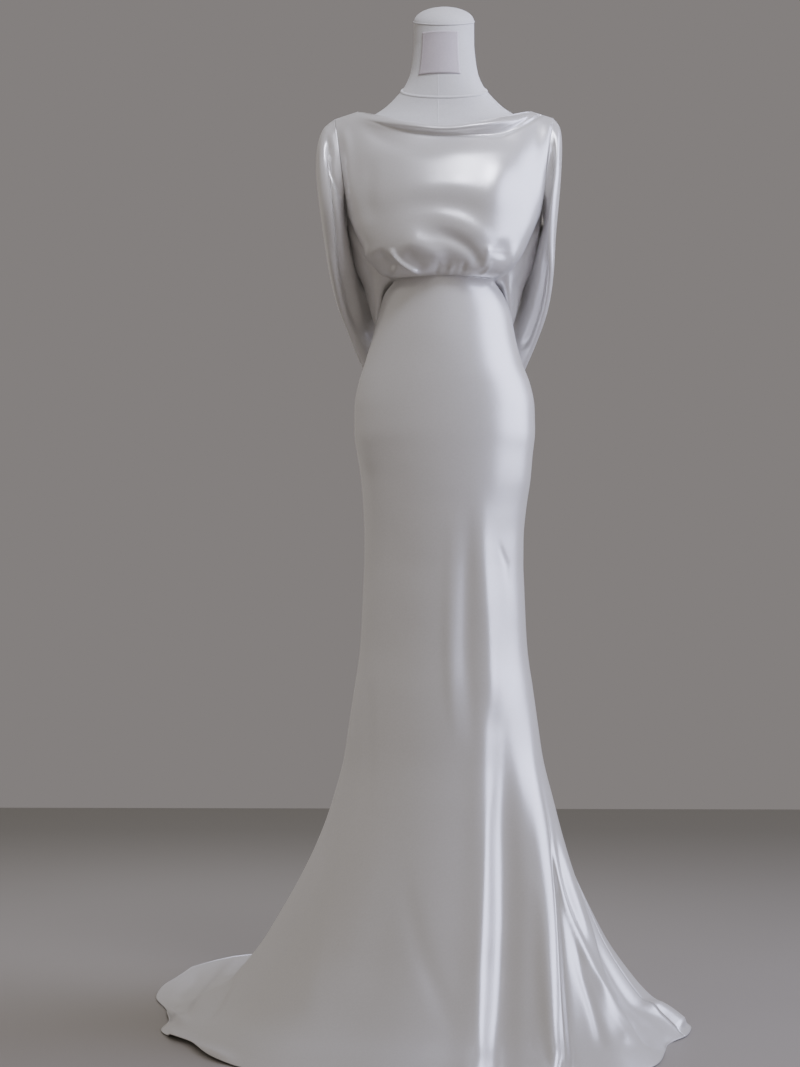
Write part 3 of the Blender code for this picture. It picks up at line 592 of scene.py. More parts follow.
BACK_SKIRT_CREASES = {
    "left drag": {"line": ((-60, 1130), (-84, 1010), (-92, 860), (-120, 600)), "deep": 3.0,
                  "wide": (16, 20), "ends": (.5, .4)},
    "left groove": {"line": ((-40, 1040), (-52, 900), (-66, 720), (-110, 420)), "deep": -3.0,
                    "wide": (12, 22), "ends": (.4, .4)},
    "seam fall": {"line": ((8, 960), (14, 780), (30, 560), (44, 330)), "deep": 3.5, "wide": (10, 18),
                  "ends": (.4, .3)},
    "right drag": {"line": ((72, 1100), (88, 930), (96, 760), (122, 540)), "deep": 3.0,
                   "wide": (14, 18), "ends": (.5, .4)},
    "right groove": {"line": ((50, 940), (64, 760), (86, 560), (150, 300)), "deep": -4.0,
                     "wide": (12, 20), "ends": (.4, .3)},
    "train rib, left": {"line": ((-200, 420), (-300, 200), (-430, 60)), "deep": 6.0, "wide": (14, 22),
                        "ends": (.4, .3)},
    "train rib, inner": {"line": ((-90, 380), (-140, 180), (-220, 50)), "deep": -6.0,
                         "wide": (14, 24), "ends": (.4, .3)},
    "train rib, right": {"line": ((180, 400), (240, 210), (320, 60)), "deep": 5.0, "wide": (12, 20),
                         "ends": (.4, .3)},
    "seat dimple": {"line": ((-30, 1240), (0, 1226), (34, 1238)), "deep": -1.6, "wide": (9, 9)},
}
print(len(FRONT_SKIRT_CREASES), "creases in front and", len(BACK_SKIRT_CREASES), "behind")

# %% Build the skirt
def skirt_grid(lines, times):
    """Fine points of one panel between two seams, with its creases laid in."""
    lines = finer(lines, times)
    rows = finer(SKIRT_ROWS, 6)[:, None]
    grid = skirt_point(lines, rows)
    step = 0.5
    across = skirt_point(lines + step, rows) - skirt_point(lines - step, rows)
    down = (skirt_point(lines, np.minimum(rows + .003, 1))
            - skirt_point(lines, np.maximum(rows - .003, 0)))
    normals = unit(np.cross(down, across))
    along = unit(across)
    grid[:, 0] += along[:, 0] * GAP / 2
    grid[:, -1] -= along[:, -1] * GAP / 2
    facing = smooth_step((.40 - normals[..., 1]) / .3)
    hang = smooth_step((WAIST_HEIGHT - .01 - grid[..., 2]) / .04)
    laid = lay_creases(grid, normals, as_seen(grid), FRONT_SKIRT_CREASES, facing * hang)
    laid = lay_creases(laid, normals, flat_on(grid), BACK_SKIRT_CREASES, (1 - facing) * hang)
    laid[..., 2] = np.maximum(laid[..., 2], CLOTH + GAP)
    return laid


skirt_grids = {"skirt_front": skirt_grid(FRONT_LINES, 10),
               "skirt_back_right": skirt_grid(RIGHT_BACK_LINES, 10),
               "skirt_back_left": skirt_grid(LEFT_BACK_LINES, 11)}
skirt = {}
for name, grid in skirt_grids.items():
    inside = (0, 0, .5) if name == "skirt_front" else (0, .05, .5)
    skirt[name] = cloth_sheet(name + "_satin", grid, satin, inside)
    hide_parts(name)
    print(name, grid.shape[:2], "points")

# %% [markdown]
# The bodice is cut wide and gathered into the waist seam, so it hangs out over it like a
# soft bag. Nine named levels of five points give its form in front, and eleven behind,
# where it is fuller and falls lower. The neckline rolls over into a shallow cowl.

# %% Bodice tables
SEAM_OUT = 0.0006
SHOULDER_START = 0.150
FRONT_NET = {
    "neckline": ((0, -.074, 1.558), (.058, -.067, 1.565), (.112, -.046, 1.580), (.155, -.006, 1.593),
                 (.191, .002, 1.583)),
    "cowl roll": ((0, -.090, 1.550), (.060, -.084, 1.557), (.115, -.061, 1.569), (.158, -.022, 1.583),
                  (.190, -.010, 1.572)),
    "cowl crease": ((0, -.085, 1.537), (.062, -.080, 1.541), (.118, -.061, 1.551), (.160, -.033, 1.566),
                    (.187, -.022, 1.556)),
    "chest": ((0, -.112, 1.500), (.066, -.106, 1.500), (.122, -.083, 1.506), (.160, -.052, 1.516),
              (.181, -.033, 1.515)),
    "bust": ((0, -.131, 1.445), (.072, -.125, 1.445), (.129, -.097, 1.446), (.161, -.060, 1.450),
             (.174, -.029, 1.460)),
    "underarm": ((0, -.133, 1.400), (.073, -.127, 1.397), (.128, -.097, 1.396), (.157, -.057, 1.400),
                 (.170, .006, 1.418)),
    "below bust": ((0, -.132, 1.360), (.069, -.127, 1.355), (.121, -.097, 1.356), (.145, -.055, 1.362),
                   (.152, .004, 1.382)),
    "fullest": ((0, -.126, 1.330), (.062, -.123, 1.322), (.110, -.094, 1.321), (.130, -.052, 1.330),
                (.130, .002, 1.350)),
    "turn under": ((0, -.110, 1.308), (.048, -.110, 1.3005), (.087, -.084, 1.2995), (.104, -.044, 1.304),
                   (.106, 0, 1.318)),
}
BACK_NET = {
    "neckline": ((0, .072, 1.570), (.058, .066, 1.575), (.112, .046, 1.584), (.155, -.006, 1.593),
                 (.191, .002, 1.583)),
    "nape": ((0, .086, 1.545), (.060, .081, 1.549), (.116, .063, 1.558), (.158, .030, 1.572),
             (.189, .018, 1.571)),
    "shoulder blade": ((0, .106, 1.495), (.067, .101, 1.495), (.123, .081, 1.501), (.160, .054, 1.513),
                       (.183, .040, 1.522)),
    "upper back": ((0, .119, 1.445), (.073, .113, 1.445), (.129, .093, 1.448), (.161, .066, 1.452),
                   (.176, .042, 1.462)),
    "underarm": ((0, .127, 1.400), (.076, .122, 1.400), (.131, .101, 1.402), (.1645, .064, 1.408),
                 (.170, .006, 1.418)),
    "blouse": ((0, .136, 1.350), (.078, .131, 1.349), (.131, .107, 1.352), (.1595, .062, 1.362),
               (.152, .004, 1.382)),
    "fullest": ((0, .146, 1.293), (.076, .140, 1.291), (.123, .112, 1.294), (.144, .064, 1.308),
                (.130, .002, 1.350)),
    "hang": ((0, .150, 1.246), (.071, .144, 1.243), (.114, .114, 1.247), (.132, .060, 1.262),
             (.117, .001, 1.333)),
    "lowest": ((0, .141, 1.216), (.064, .136, 1.214), (.103, .107, 1.218), (.121, .054, 1.230),
               (.106, 0, 1.318)),
    "return": ((0, .123, 1.223), (.055, .119, 1.221), (.092, .093, 1.225), (.1155, .042, 1.241),
               (.100, 0, 1.310)),
    "inner": ((0, .109, 1.262), (.046, .103, 1.262), (.080, .078, 1.265), (.103, .034, 1.276),
              (.0945, 0, 1.303)),
}
YOKE_ROWS = {"front": 5, "back": 4}     # rows of each net above the underarm
print("levels:", len(FRONT_NET), "in front,", len(BACK_NET), "behind")

# %% [markdown]
# What makes the bodice satin is the way it drapes: a crisp crease under the neck roll,
# slack drag folds from the shoulders, a long S of shadow over the right lobe, and small
# pockets between the pleats where the gathers are held by the waist seam.

# %% Creases of the bodice
FRONT_BODICE_CREASES = {
    "cowl crease": {"line": ((-161, 1586), (-122, 1577), (-88, 1567), (-49, 1560), (4, 1556),
                             (60, 1556), (102, 1561), (133, 1575), (158, 1593)),
                    "deep": -3.6, "wide": (3.2, 3.4), "ends": (.35, .12), "left": 0.7},
    "cowl roll": {"line": ((-136, 1591), (-77, 1577), (-10, 1570), (63, 1572), (124, 1588)),
                  "deep": 2.5, "wide": (8, 7), "ends": (.3, .3)},
    "cowl twist": {"line": ((60, 1551), (98, 1556), (133, 1568), (161, 1584), (177, 1596)),
                   "deep": -2.6, "wide": (3.5, 3.5), "ends": (.35, .2)},
    "left drag": {"line": ((-150, 1574), (-119, 1553), (-77, 1537), (-21, 1528), (32, 1528)),
                  "deep": -3.0, "wide": (9, 16), "ends": (.3, .45)},
    "left strap band": {"line": ((-177, 1575), (-168, 1528), (-164, 1472), (-150, 1402)),
                        "deep": 3.0, "wide": (8, 10), "ends": (.2, .4)},
    "right arm line": {"line": ((182, 1584), (178, 1528), (170, 1458), (158, 1379)),
                       "deep": 3.5, "wide": (11, 14), "ends": (.2, .4)},
    "right bust": {"line": ((122, 1546), (98, 1490), (77, 1434), (52, 1402)),
                   "deep": 5.5, "wide": (34, 30), "ends": (.35, .45)},
    "chest ridge": {"line": ((-91, 1462), (-7, 1469), (74, 1463)),
                    "deep": 2.2, "wide": (17, 17), "ends": (.4, .4)},
    "chest hollow": {"line": ((-102, 1427), (-10, 1432), (80, 1423)),
                     "deep": -2.0, "wide": (15, 15), "ends": (.4, .4)},
    "fuller below": {"line": ((-126, 1360), (-7, 1371), (126, 1360)),
                     "deep": 6.0, "wide": (42, 42), "ends": (.3, .3)},
    "left bust": {"line": ((-126, 1528), (-136, 1458), (-126, 1395)),
                  "deep": -3.0, "wide": (14, 16), "ends": (.3, .3)},
    "over the S": {"line": ((-84, 1416), (-24, 1418), (24, 1404), (60, 1385), (80, 1364)),
                   "deep": 2.2, "wide": (18, 12), "ends": (.4, .3)},
    "long S": {"line": ((-60, 1390), (-7, 1381), (32, 1364), (54, 1343), (61, 1318)),
               "deep": -6.0, "wide": (14, 9), "ends": (.45, .2)},
    "big lobe": {"line": ((-77, 1378), (-35, 1357), (7, 1332)),
                 "deep": 6.0, "wide": (20, 14), "ends": (.35, .3)},
    "small lobe": {"line": ((75, 1364), (75, 1343), (68, 1318)),
                   "deep": 2.5, "wide": (5, 5), "ends": (.3, .2)},
    "right pocket": {"line": ((96, 1381), (100, 1353), (96, 1329)),
                     "deep": -3.0, "wide": (15, 17), "ends": (.5, .4)},
    "pocket rim, right": {"line": ((119, 1385), (121, 1353), (112, 1325), (88, 1306)),
                          "deep": 2.5, "wide": (9, 7), "ends": (.5, .2)},
    "left pocket": {"line": ((-122, 1353), (-105, 1330), (-84, 1315)),
                    "deep": -8.0, "wide": (11, 11), "ends": (.35, .3)},
    "left pocket rim": {"line": ((-136, 1364), (-135, 1339), (-119, 1318), (-91, 1306)),
                        "deep": 3.0, "wide": (4, 4), "ends": (.3, .2)},
    "second pocket": {"line": ((-66, 1353), (-52, 1336), (-28, 1316)),
                      "deep": -4.0, "wide": (9, 9), "ends": (.35, .3)},
    "bright pleat": {"line": ((-91, 1358), (-86, 1344), (-70, 1329), (-40, 1311)),
                     "deep": 7.0, "wide": (3.2, 3.0), "ends": (.25, .15)},
    "pleat over the S": {"line": ((60, 1309), (74, 1318), (84, 1336)),
                         "deep": 3.5, "wide": (3, 3), "ends": (.3, .3)},
    "gather one": {"line": ((-14, 1308), (-12, 1322), (-7, 1341)),
                   "deep": -2.4, "wide": (3.5, 5), "ends": (.2, .4)},
    "gather two": {"line": ((9, 1308), (12, 1322), (21, 1336)),
                   "deep": 2.2, "wide": (3.5, 5), "ends": (.2, .4)},
    "gather three": {"line": ((30, 1308), (33, 1322), (40, 1339)),
                     "deep": -2.4, "wide": (3.5, 5), "ends": (.2, .4)},
}
BACK_BODICE_CREASES = {
    "left side swell": {"line": ((-150, 1446), (-156, 1400), (-151, 1345), (-134, 1285)), "deep": 8.0,
                        "wide": (15, 18), "ends": (.3, .3)},
    "right side swell": {"line": ((150, 1446), (156, 1400), (151, 1345), (134, 1285)), "deep": 8.0,
                         "wide": (15, 18), "ends": (.3, .3)},
    "nape drape": {"line": ((-120, 1545), (-50, 1520), (20, 1516), (110, 1540)), "deep": -4.0,
                   "wide": (9, 10), "left": .7},
    "second drape": {"line": ((-104, 1498), (-30, 1474), (56, 1480), (118, 1506)), "deep": -3.0,
                     "wide": (12, 12)},
    "left shoulder fall": {"line": ((-160, 1560), (-150, 1500), (-120, 1420)), "deep": 3.0,
                           "wide": (9, 14)},
    "right shoulder fall": {"line": ((162, 1560), (148, 1490), (126, 1400)), "deep": 3.5,
                            "wide": (9, 14)},
    "left pleat": {"line": ((-84, 1350), (-76, 1290), (-70, 1228)), "deep": -6.0, "wide": (14, 8),
                   "ends": (.5, .1)},
    "left middle lobe": {"line": ((-48, 1340), (-42, 1280), (-40, 1226)), "deep": 5.0, "wide": (16, 9),
                         "ends": (.5, .1)},
    "middle pleat": {"line": ((-6, 1360), (-10, 1290), (-8, 1224)), "deep": -7.0, "wide": (14, 7),
                     "ends": (.5, .1)},
    "right middle lobe": {"line": ((30, 1345), (30, 1285), (28, 1224)), "deep": 5.0, "wide": (15, 9),
                          "ends": (.5, .1)},
    "right pleat": {"line": ((66, 1370), (60, 1300), (58, 1226)), "deep": -6.0, "wide": (13, 8),
                    "ends": (.5, .1)},
    "outer right pleat": {"line": ((116, 1330), (112, 1280), (106, 1232)), "deep": 4.0, "wide": (12, 7),
                          "ends": (.5, .1)},
    "outer left pleat": {"line": ((-124, 1330), (-118, 1280), (-110, 1234)), "deep": 5.0,
                         "wide": (12, 7), "ends": (.5, .1)},
}
print(len(FRONT_BODICE_CREASES), "creases in front and", len(BACK_BODICE_CREASES), "behind")

# %% Bodice surface
YOKE_STEPS, SEAM_STEPS, BODICE_COLUMNS = 66, 96, 145


def waist_row(sign):
    """Half of the waist seam, from the middle to the right side."""
    turn = np.radians(np.linspace(0, 90, 5))
    wide, deep, height = WAIST_WIDE + SEAM_OUT, WAIST_DEEP + SEAM_OUT, WAIST_HEIGHT + SEAM_OUT
    return [(wide * np.sin(t), sign * deep * np.cos(t), height) for t in turn]


def full_net(half, seam_row):
    """Both halves of a bodice panel, mirrored from the right one, and its seam row."""
    return np.array([[(-x, y, z) for x, y, z in row[:0:-1]] + list(row)
                     for row in list(half.values()) + [seam_row]])


def side_seam():
    """Right side seam from the underarm down to the waist, which both panels share."""
    points = [FRONT_NET[name][-1] for name in ("underarm", "below bust", "fullest", "turn under")]
    return points + [(WAIST_WIDE + SEAM_OUT, 0, WAIST_HEIGHT + SEAM_OUT)]


def bodice_grid(half, sign, yoke_rows):
    """Fine outer points of one bodice panel, with its side edges on the shared side seam."""
    net = full_net(half, waist_row(sign))
    last = len(net) - 1
    yoke = np.linspace(0, yoke_rows / last, YOKE_STEPS, endpoint=False)
    lower = np.linspace(yoke_rows / last, 1, SEAM_STEPS + 1)
    across = np.linspace(0, 1, BODICE_COLUMNS)
    levels = through(net, np.concatenate((yoke, lower)))
    grid = through(levels.transpose(1, 0, 2), across).transpose(1, 0, 2)
    seam = through(side_seam(), np.linspace(0, 1, SEAM_STEPS + 1))
    for column, way in ((0, -1), (-1, 1)):
        miss = seam * (way, 1, 1) - grid[YOKE_STEPS:, column]
        pull = np.clip(way * (2 * across - 1), 0, 1) ** 8
        grid[YOKE_STEPS:] += pull[None, :, None] * miss[:, None, :]
        grid[YOKE_STEPS:, column, 1] += sign * GAP / 2
    start, tip = np.array(half["neckline"][-2:])
    shoulder = np.abs(grid[0, :, 0]) > SHOULDER_START
    share = ((np.abs(grid[0, shoulder, 0]) - start[0]) / (tip[0] - start[0]))[:, None]
    wanted = (start + share * (tip - start))[:, 1:] + (sign * GAP / 2, 0)
    miss = wanted - grid[0, shoulder, 1:]
    for row in range(8):
        grid[row, shoulder, 1:] += miss * (1 - row / 8)
    return grid


def held_mask(grid):
    """Creases fade out where the panel is held: at its shoulders, armholes and seams."""
    rows, columns = grid.shape[:2]
    row = np.arange(rows)[:, None] / (rows - 1)
    column = np.arange(columns)[None, :] / (columns - 1)
    return (smooth_step((1 - row) / .05) * smooth_step(column / .03) * smooth_step((1 - column) / .03)
            * smooth_step(row / .01))


base = {"front": bodice_grid(FRONT_NET, -1, YOKE_ROWS["front"]),
        "back": bodice_grid(BACK_NET, 1, YOKE_ROWS["back"])}
front_grid = lay_creases(base["front"], grid_normals(base["front"]), as_seen(base["front"]),
                         FRONT_BODICE_CREASES, held_mask(base["front"]))
back_grid = lay_creases(base["back"], -grid_normals(base["back"]), flat_on(base["back"]),
                        BACK_BODICE_CREASES, held_mask(base["back"]))
bodice = {"bodice_front": cloth_sheet("bodice_front_satin", front_grid, satin, (0, 0, 1.45)),
          "bodice_back": cloth_sheet("bodice_back_satin", back_grid, satin, (0, 0, 1.40))}
for name, piece in bodice.items():
    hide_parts(name)
    print(name, len(piece.data.polygons), "faces")

# %% [markdown]
# The sleeves hang empty. Their cloth falls in a flattened tube that swings round behind
# the back to the cuffs, with a long groove down the outside and a thin fold where the
# sleeve turns in at the armhole. Each starts from the armhole's own points.

# %% Sleeves
SLEEVE_LINES = {
    "outer": ((.191, .002, 1.583), (.203, .004, 1.566), (.2065, .007, 1.535), (.2045, .012, 1.490),
              (.199, .020, 1.440), (.193, .034, 1.385), (.186, .058, 1.325), (.173, .090, 1.266),
              (.151, .122, 1.214), (.126, .146, 1.168), (.102, .160, 1.122), (.080, .167, 1.080)),
    "inner": ((.170, .006, 1.418), (.1725, .008, 1.410), (.173, .010, 1.402), (.172, .014, 1.390),
              (.169, .022, 1.370), (.163, .038, 1.338), (.154, .062, 1.297), (.141, .086, 1.250),
              (.122, .106, 1.206), (.100, .121, 1.164), (.080, .130, 1.121), (.062, .136, 1.082)),
    "half width": ((0, .040, 0), (.001, .046, 0), (.002, .051, .002), (.002, .055, .004),
                   (0, .056, .006), (-.004, .055, .008), (-.014, .053, .009), (-.021, .047, .011),
                   (-.025, .038, .015), (-.029, .026, .019), (-.032, .014, .023), (-.034, .006, .027)),
    "fill": (0, 0, 0, .005, .014, .016, .014, .008, .002, 0, 0, 0),
}
LEFT_SLEEVE_OUT, ARMHOLE_BLEND, SLEEVE_RINGS = 0.021, 0.18, 120
SLEEVE_CREASES = {
    "right": {
        "groove": {"line": ((189, 1560), (184, 1476), (180, 1397), (173, 1318), (163, 1257), (147, 1204),
                            (133, 1175)), "deep": -9.0, "wide": (5, 8), "ends": (.12, .15)},
        "rim": {"line": ((201, 1546), (198, 1458), (191, 1371), (182, 1283), (165, 1222), (144, 1175)),
                "deep": 3.0, "wide": (4, 6), "ends": (.15, .15)},
        "inner panel": {"line": ((170, 1430), (160, 1350), (142, 1270), (124, 1205)), "deep": 3.0,
                        "wide": (8, 9), "ends": (.3, .2)},
    },
    "left": {
        "groove": {"line": ((-205, 1563), (-198, 1458), (-186, 1371), (-168, 1283), (-147, 1204)),
                   "deep": -9.0, "wide": (6, 8), "ends": (.1, .15)},
        "thin fold": {"line": ((-205, 1520), (-191, 1476), (-177, 1432)), "deep": -4.0,
                      "wide": (2.5, 3)},
        "inner panel": {"line": ((-180, 1450), (-170, 1371), (-154, 1292), (-138, 1215)), "deep": 2.5,
                        "wide": (8, 9), "ends": (.3, .2)},
        "rim": {"line": ((-217, 1546), (-213, 1458), (-204, 1371), (-185, 1283), (-161, 1204)),
                "deep": 3.0, "wide": (4, 6), "ends": (.15, .15)},
    },
    "behind": {
        "long groove": {"line": ((192, 1510), (178, 1400), (150, 1250), (100, 1130)), "deep": -4.0,
                        "wide": (5, 7), "ends": (.3, .2)},
        "elbow wrinkle": {"line": ((196, 1368), (176, 1352), (150, 1350)), "deep": -2.5,
                          "wide": (5, 5)},
        "lower wrinkle": {"line": ((186, 1300), (160, 1276), (132, 1270)), "deep": -2.0,
                          "wide": (5, 5)},
        "cuff wrinkle": {"line": ((140, 1180), (112, 1164), (86, 1170)), "deep": 1.8, "wide": (5, 5)},
    },
}


def sleeve_grid(way, armhole):
    """Rings of points from the armhole to the cuff; way is 1 on the right, -1 on the left."""
    turns = np.linspace(0, 2 * np.pi, len(armhole), endpoint=False)
    share = np.linspace(0, 1, SLEEVE_RINGS)
    outer, inner, half = (through(SLEEVE_LINES[k], share)[:, None]
                          for k in ("outer", "inner", "half width"))
    if way < 0:
        outer[..., 0] += LEFT_SLEEVE_OUT * np.sin(np.pi * np.clip(share / 0.68, 0, 1))[:, None]
    section = ((outer + inner) / 2 + (outer - inner) / 2 * np.cos(turns)[None, :, None]
               - half * np.sin(turns)[None, :, None])
    section[..., 0] -= (through(SLEEVE_LINES["fill"], share)[:, None] * smooth_step(-np.sin(turns))
                        * (1 - np.cos(turns)) / 2)
    leave = smooth_step(share / ARMHOLE_BLEND)[:, None, None]
    rings = section * leave + (armhole - section[0] + section) * (1 - leave)
    rings[0, :, 0] += GAP
    return rings * (way, 1, 1)


armhole = np.concatenate((base["front"][:YOKE_STEPS, -1], base["back"][YOKE_STEPS:0:-1, -1]))
sleeves, sleeve_grids = {}, {}
for side, way in (("right", 1), ("left", -1)):
    grid = sleeve_grid(way, armhole)
    normals = -grid_normals(grid, closed=True) * way
    centre = grid.mean(axis=1, keepdims=True)
    if (normals * (grid - centre)).sum() < 0:
        normals = -normals
    start = smooth_step(np.arange(SLEEVE_RINGS) / 10)[:, None]
    facing = smooth_step((.25 - normals[..., 1]) / .3) * start
    laid = lay_creases(grid, normals, as_seen(grid), SLEEVE_CREASES[side], facing)
    mirrored = flat_on(grid) * (way, 1)
    grid = lay_creases(laid, normals, mirrored, SLEEVE_CREASES["behind"], start - facing)
    sleeve_grids[side] = grid
    rows, columns = grid.shape[:2]
    outward = (grid_normals(grid, True) * normals).sum()
    piece = mesh_piece(f"sleeve_{side}_satin", grid, grid_faces(rows, columns, True, outward < 0),
                       satin, unrolled(grid))
    wall = piece.modifiers.new("cloth thickness", "SOLIDIFY")
    wall.thickness = CLOTH
    wall.offset = -1
    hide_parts(f"sleeve_{side}")
    sleeves[side] = piece
    print(piece.name, len(piece.data.polygons), "faces")

# %% [markdown]
# Every free edge of satin is finished with a narrow rolled hem, no thicker than a match.
# It catches a fine line of light at the neckline, the cuffs and the floor, which a bare
# thin sheet wouldn't. Each roll is a slim tube that follows the edge's own points.

# %% Rolled edges
def tucked(points, inward, radius):
    """Points moved back from an edge, so that the roll stays within the cloth's own edge."""
    return points + unit(inward) * radius


ROLL = 0.0009
WAIST_CORD, WAIST_CORD_SUNK = 0.0010, 0.0002
neck_columns = np.abs(base["front"][0, :, 0]) < SHOULDER_START
for side, grid in (("front", front_grid), ("back", back_grid)):
    path = tucked(grid[0, neck_columns], grid[2, neck_columns] - grid[0, neck_columns], ROLL)
    edge_roll(f"neckline_{side}_roll", path, ROLL, satin)
for side, grid in sleeve_grids.items():
    path = tucked(grid[-1], grid[-3] - grid[-1], ROLL)
    edge_roll(f"cuff_{side}_roll", path, ROLL, satin, closed=True)
for name, grid in skirt_grids.items():
    path = tucked(grid[-1], grid[-3] - grid[-1], ROLL)
    path[:, 2] = np.maximum(path[:, 2], ROLL + GAP)
    edge_roll(f"{name}_hem_roll", path, ROLL, satin)
waist_turns = np.linspace(0, 2 * np.pi, 160, endpoint=False)
waist_path = np.stack(((WAIST_WIDE + SEAM_OUT) * np.cos(waist_turns),
                       (WAIST_DEEP + SEAM_OUT) * np.sin(waist_turns),
                       np.full(len(waist_turns), WAIST_HEIGHT - WAIST_CORD_SUNK)), axis=-1)
edge_roll("waist_seam_cord", waist_path, WAIST_CORD, satin, closed=True)

# %% [markdown]
# The form is a torso and neck without arms or head, padded and covered in white knit. Its
# rings follow the dress just inside it, then the shoulders and the neck. Seams run round
# the base of the neck and down the middle of the front. On a real form the neck's seam is
# a padded roll and the other is pressed flat, so both are cords sunk in the cover, one
# thick and one thin.

# %% Dress form
NECK_RADIUS, NECK_TOP, CAP_TILT, CAP_DOME, FORM_BOTTOM = 0.0525, 1.752, 0.32, 0.026, 0.88
TORSO = {
    "height": (1.297, 1.312, 1.34, 1.38, 1.44, 1.49, 1.53, 1.557, 1.573, 1.586, 1.600, 1.6165, 1.640,
               1.662, 1.69, 1.71),
    "wide": (.0848, .0855, .098, .123, .146, .156, .163, .166, .160, .128, .105, .087, .068, .059,
             .0545, NECK_RADIUS),
    "front": (.0902, .0895, .094, .112, .121, .104, .077, .066, .060, .057, .055, .0545, .054,
              .0535, .053, NECK_RADIUS),
    "back": (.0902, .0895, .092, .100, .106, .095, .077, .064, .060, .058, .057, .057, .0565,
             .0555, .0545, NECK_RADIUS),
}
INSIDE_SKIRT = 0.006


def form_point(turn, height):
    """Surface of the form at an angle in radians and a height; the neck's top is tilted."""
    left, right, front, back = skirt_section(height)
    low = height < TORSO["height"][0]
    wide, fore, aft = (soft(height, TORSO["height"], TORSO[k]) for k in ("wide", "front", "back"))
    wide = np.where(low, np.minimum(left, right) - INSIDE_SKIRT, wide)
    fore = np.where(low, front - INSIDE_SKIRT, fore)
    aft = np.where(low, back - INSIDE_SKIRT, aft)
    depth = np.where(np.sin(turn) > 0, aft, fore)
    tilt = CAP_TILT * smooth_step((height - 1.69) / (NECK_TOP - 1.69))
    x, y = wide * np.cos(turn), depth * np.sin(turn)
    return np.stack((x, y, height + tilt * y), axis=-1)


form_turns = np.linspace(0, 2 * np.pi, 160, endpoint=False)
form_heights = np.concatenate((np.linspace(NECK_TOP, 1.56, 70), np.linspace(1.555, FORM_BOTTOM, 70)))
form_grid = form_point(form_turns[None, :], form_heights[:, None])
rows, columns = form_grid.shape[:2]
faces = grid_faces(rows, columns, True, False)
faces += [tuple(reversed(range(columns))), tuple((rows - 1) * columns + c for c in range(columns))]
if (grid_normals(form_grid, True) * (form_grid * (1, 1, 0))).sum() < 0:
    faces = [face[::-1] for face in faces]
form = mesh_piece("form_body_cover", form_grid, faces, form_cloth, unrolled(form_grid))
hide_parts("form_body")
print("form:", len(faces), "faces")

# %% Seams of the form
def on_form(turn, height, out):
    """A place on the form's cover, moved outwards a little."""
    turn, height = np.broadcast_arrays(np.asarray(turn, float), np.asarray(height, float))
    return form_point(turn, height) + out * np.stack((np.cos(turn), np.sin(turn), 0 * turn), axis=-1)


NECK_SEAM = {"height": 1.633, "dip": .023, "radius": .0031, "sunk": .0017}
FRONT_SEAM = {"top": 1.735, "low": 1.40, "left": .0105, "radius": .0007, "sunk": .0002}
seam_turns = np.linspace(0, 2 * np.pi, 140, endpoint=False)
neck_path = on_form(seam_turns, NECK_SEAM["height"] + NECK_SEAM["dip"] * np.sin(seam_turns),
                    -NECK_SEAM["sunk"])
neck_seam = edge_roll("form_neck_seam", neck_path, NECK_SEAM["radius"], form_cloth, closed=True)
seam_heights = np.linspace(FRONT_SEAM["top"], FRONT_SEAM["low"], 90)
neck_wide = soft(seam_heights, TORSO["height"], TORSO["wide"])
front_turns = -np.pi / 2 - np.arcsin(FRONT_SEAM["left"] / neck_wide)
front_seam = edge_roll("form_front_seam", on_form(front_turns, seam_heights, -FRONT_SEAM["sunk"]),
                       FRONT_SEAM["radius"], form_cloth)
print("neck seam and front seam laid")

# %% [markdown]
# A domed cap closes the neck, tilted forward. It is a padded disc of cloth with a cord
# round its edge. The label below it is a bare woven card, held by a row of stitches all
# round; its stitches are laid one by one, since their size is what makes it read as sewn.

# %% Cap and label
def make_cap():
    """The domed cap as rings that close to one point at the top."""
    shares = np.sin(np.linspace(0, np.pi / 2, 26))[:-1]
    rings = []
    for share in shares:
        ring = form_point(form_turns, NECK_TOP) * (1, 1, 0)
        ring = ring * np.sqrt(1 - share ** 2)
        ring[:, 2] = NECK_TOP + GAP + CAP_TILT * ring[:, 1] + CAP_DOME * share
        rings.append(ring)
    grid = np.array(rings)
    rows, columns = grid.shape[:2]
    faces = grid_faces(rows, columns, True, True)
    faces += [tuple((rows - 1) * columns + c for c in range(columns)), tuple(reversed(range(columns)))]
    return mesh_piece("form_cap_cover", grid, faces, cap_cloth, grid[..., :2])


cap = make_cap()
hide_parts("form_cap")
CAP_CORD, CAP_CORD_UP = 0.0012, 0.0004
cap_edge = form_point(form_turns, NECK_TOP) + (0, 0, CAP_CORD_UP)
cap_cord = edge_roll("form_cap_cord", cap_edge, CAP_CORD, cap_cloth, closed=True)

LABEL_SIZE, LABEL_MIDDLE, LABEL_CARD = (0.065, 0.073), (-0.008, 1.6885), 0.0008


def on_label(across, height, out):
    """A point on the neck in front, a small way out, by width across and height."""
    turn = across / NECK_RADIUS
    wide = soft(height, TORSO["height"], TORSO["wide"]) + 3 * GAP + out
    deep = soft(height, TORSO["height"], TORSO["front"]) + 3 * GAP + out
    return np.stack((wide * np.sin(turn), -deep * np.cos(turn), height + 0 * turn), axis=-1)


across, down = np.meshgrid(np.linspace(-.5, .5, 40) * LABEL_SIZE[0] + LABEL_MIDDLE[0],
                           np.linspace(.5, -.5, 44) * LABEL_SIZE[1] + LABEL_MIDDLE[1])
label = cloth_sheet("form_label_card", on_label(across, down, LABEL_CARD), label_card, (0, 0, 1.7),
                    thick=LABEL_CARD)
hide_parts("form_label")


THREAD_HIGH, THREAD_WIDE, STITCH_LIFT = 0.0003, 0.0004, 0.0002
STITCH_PITCH, STITCH_SHARE, STITCH_INSET = 0.0034, 0.62, 0.003


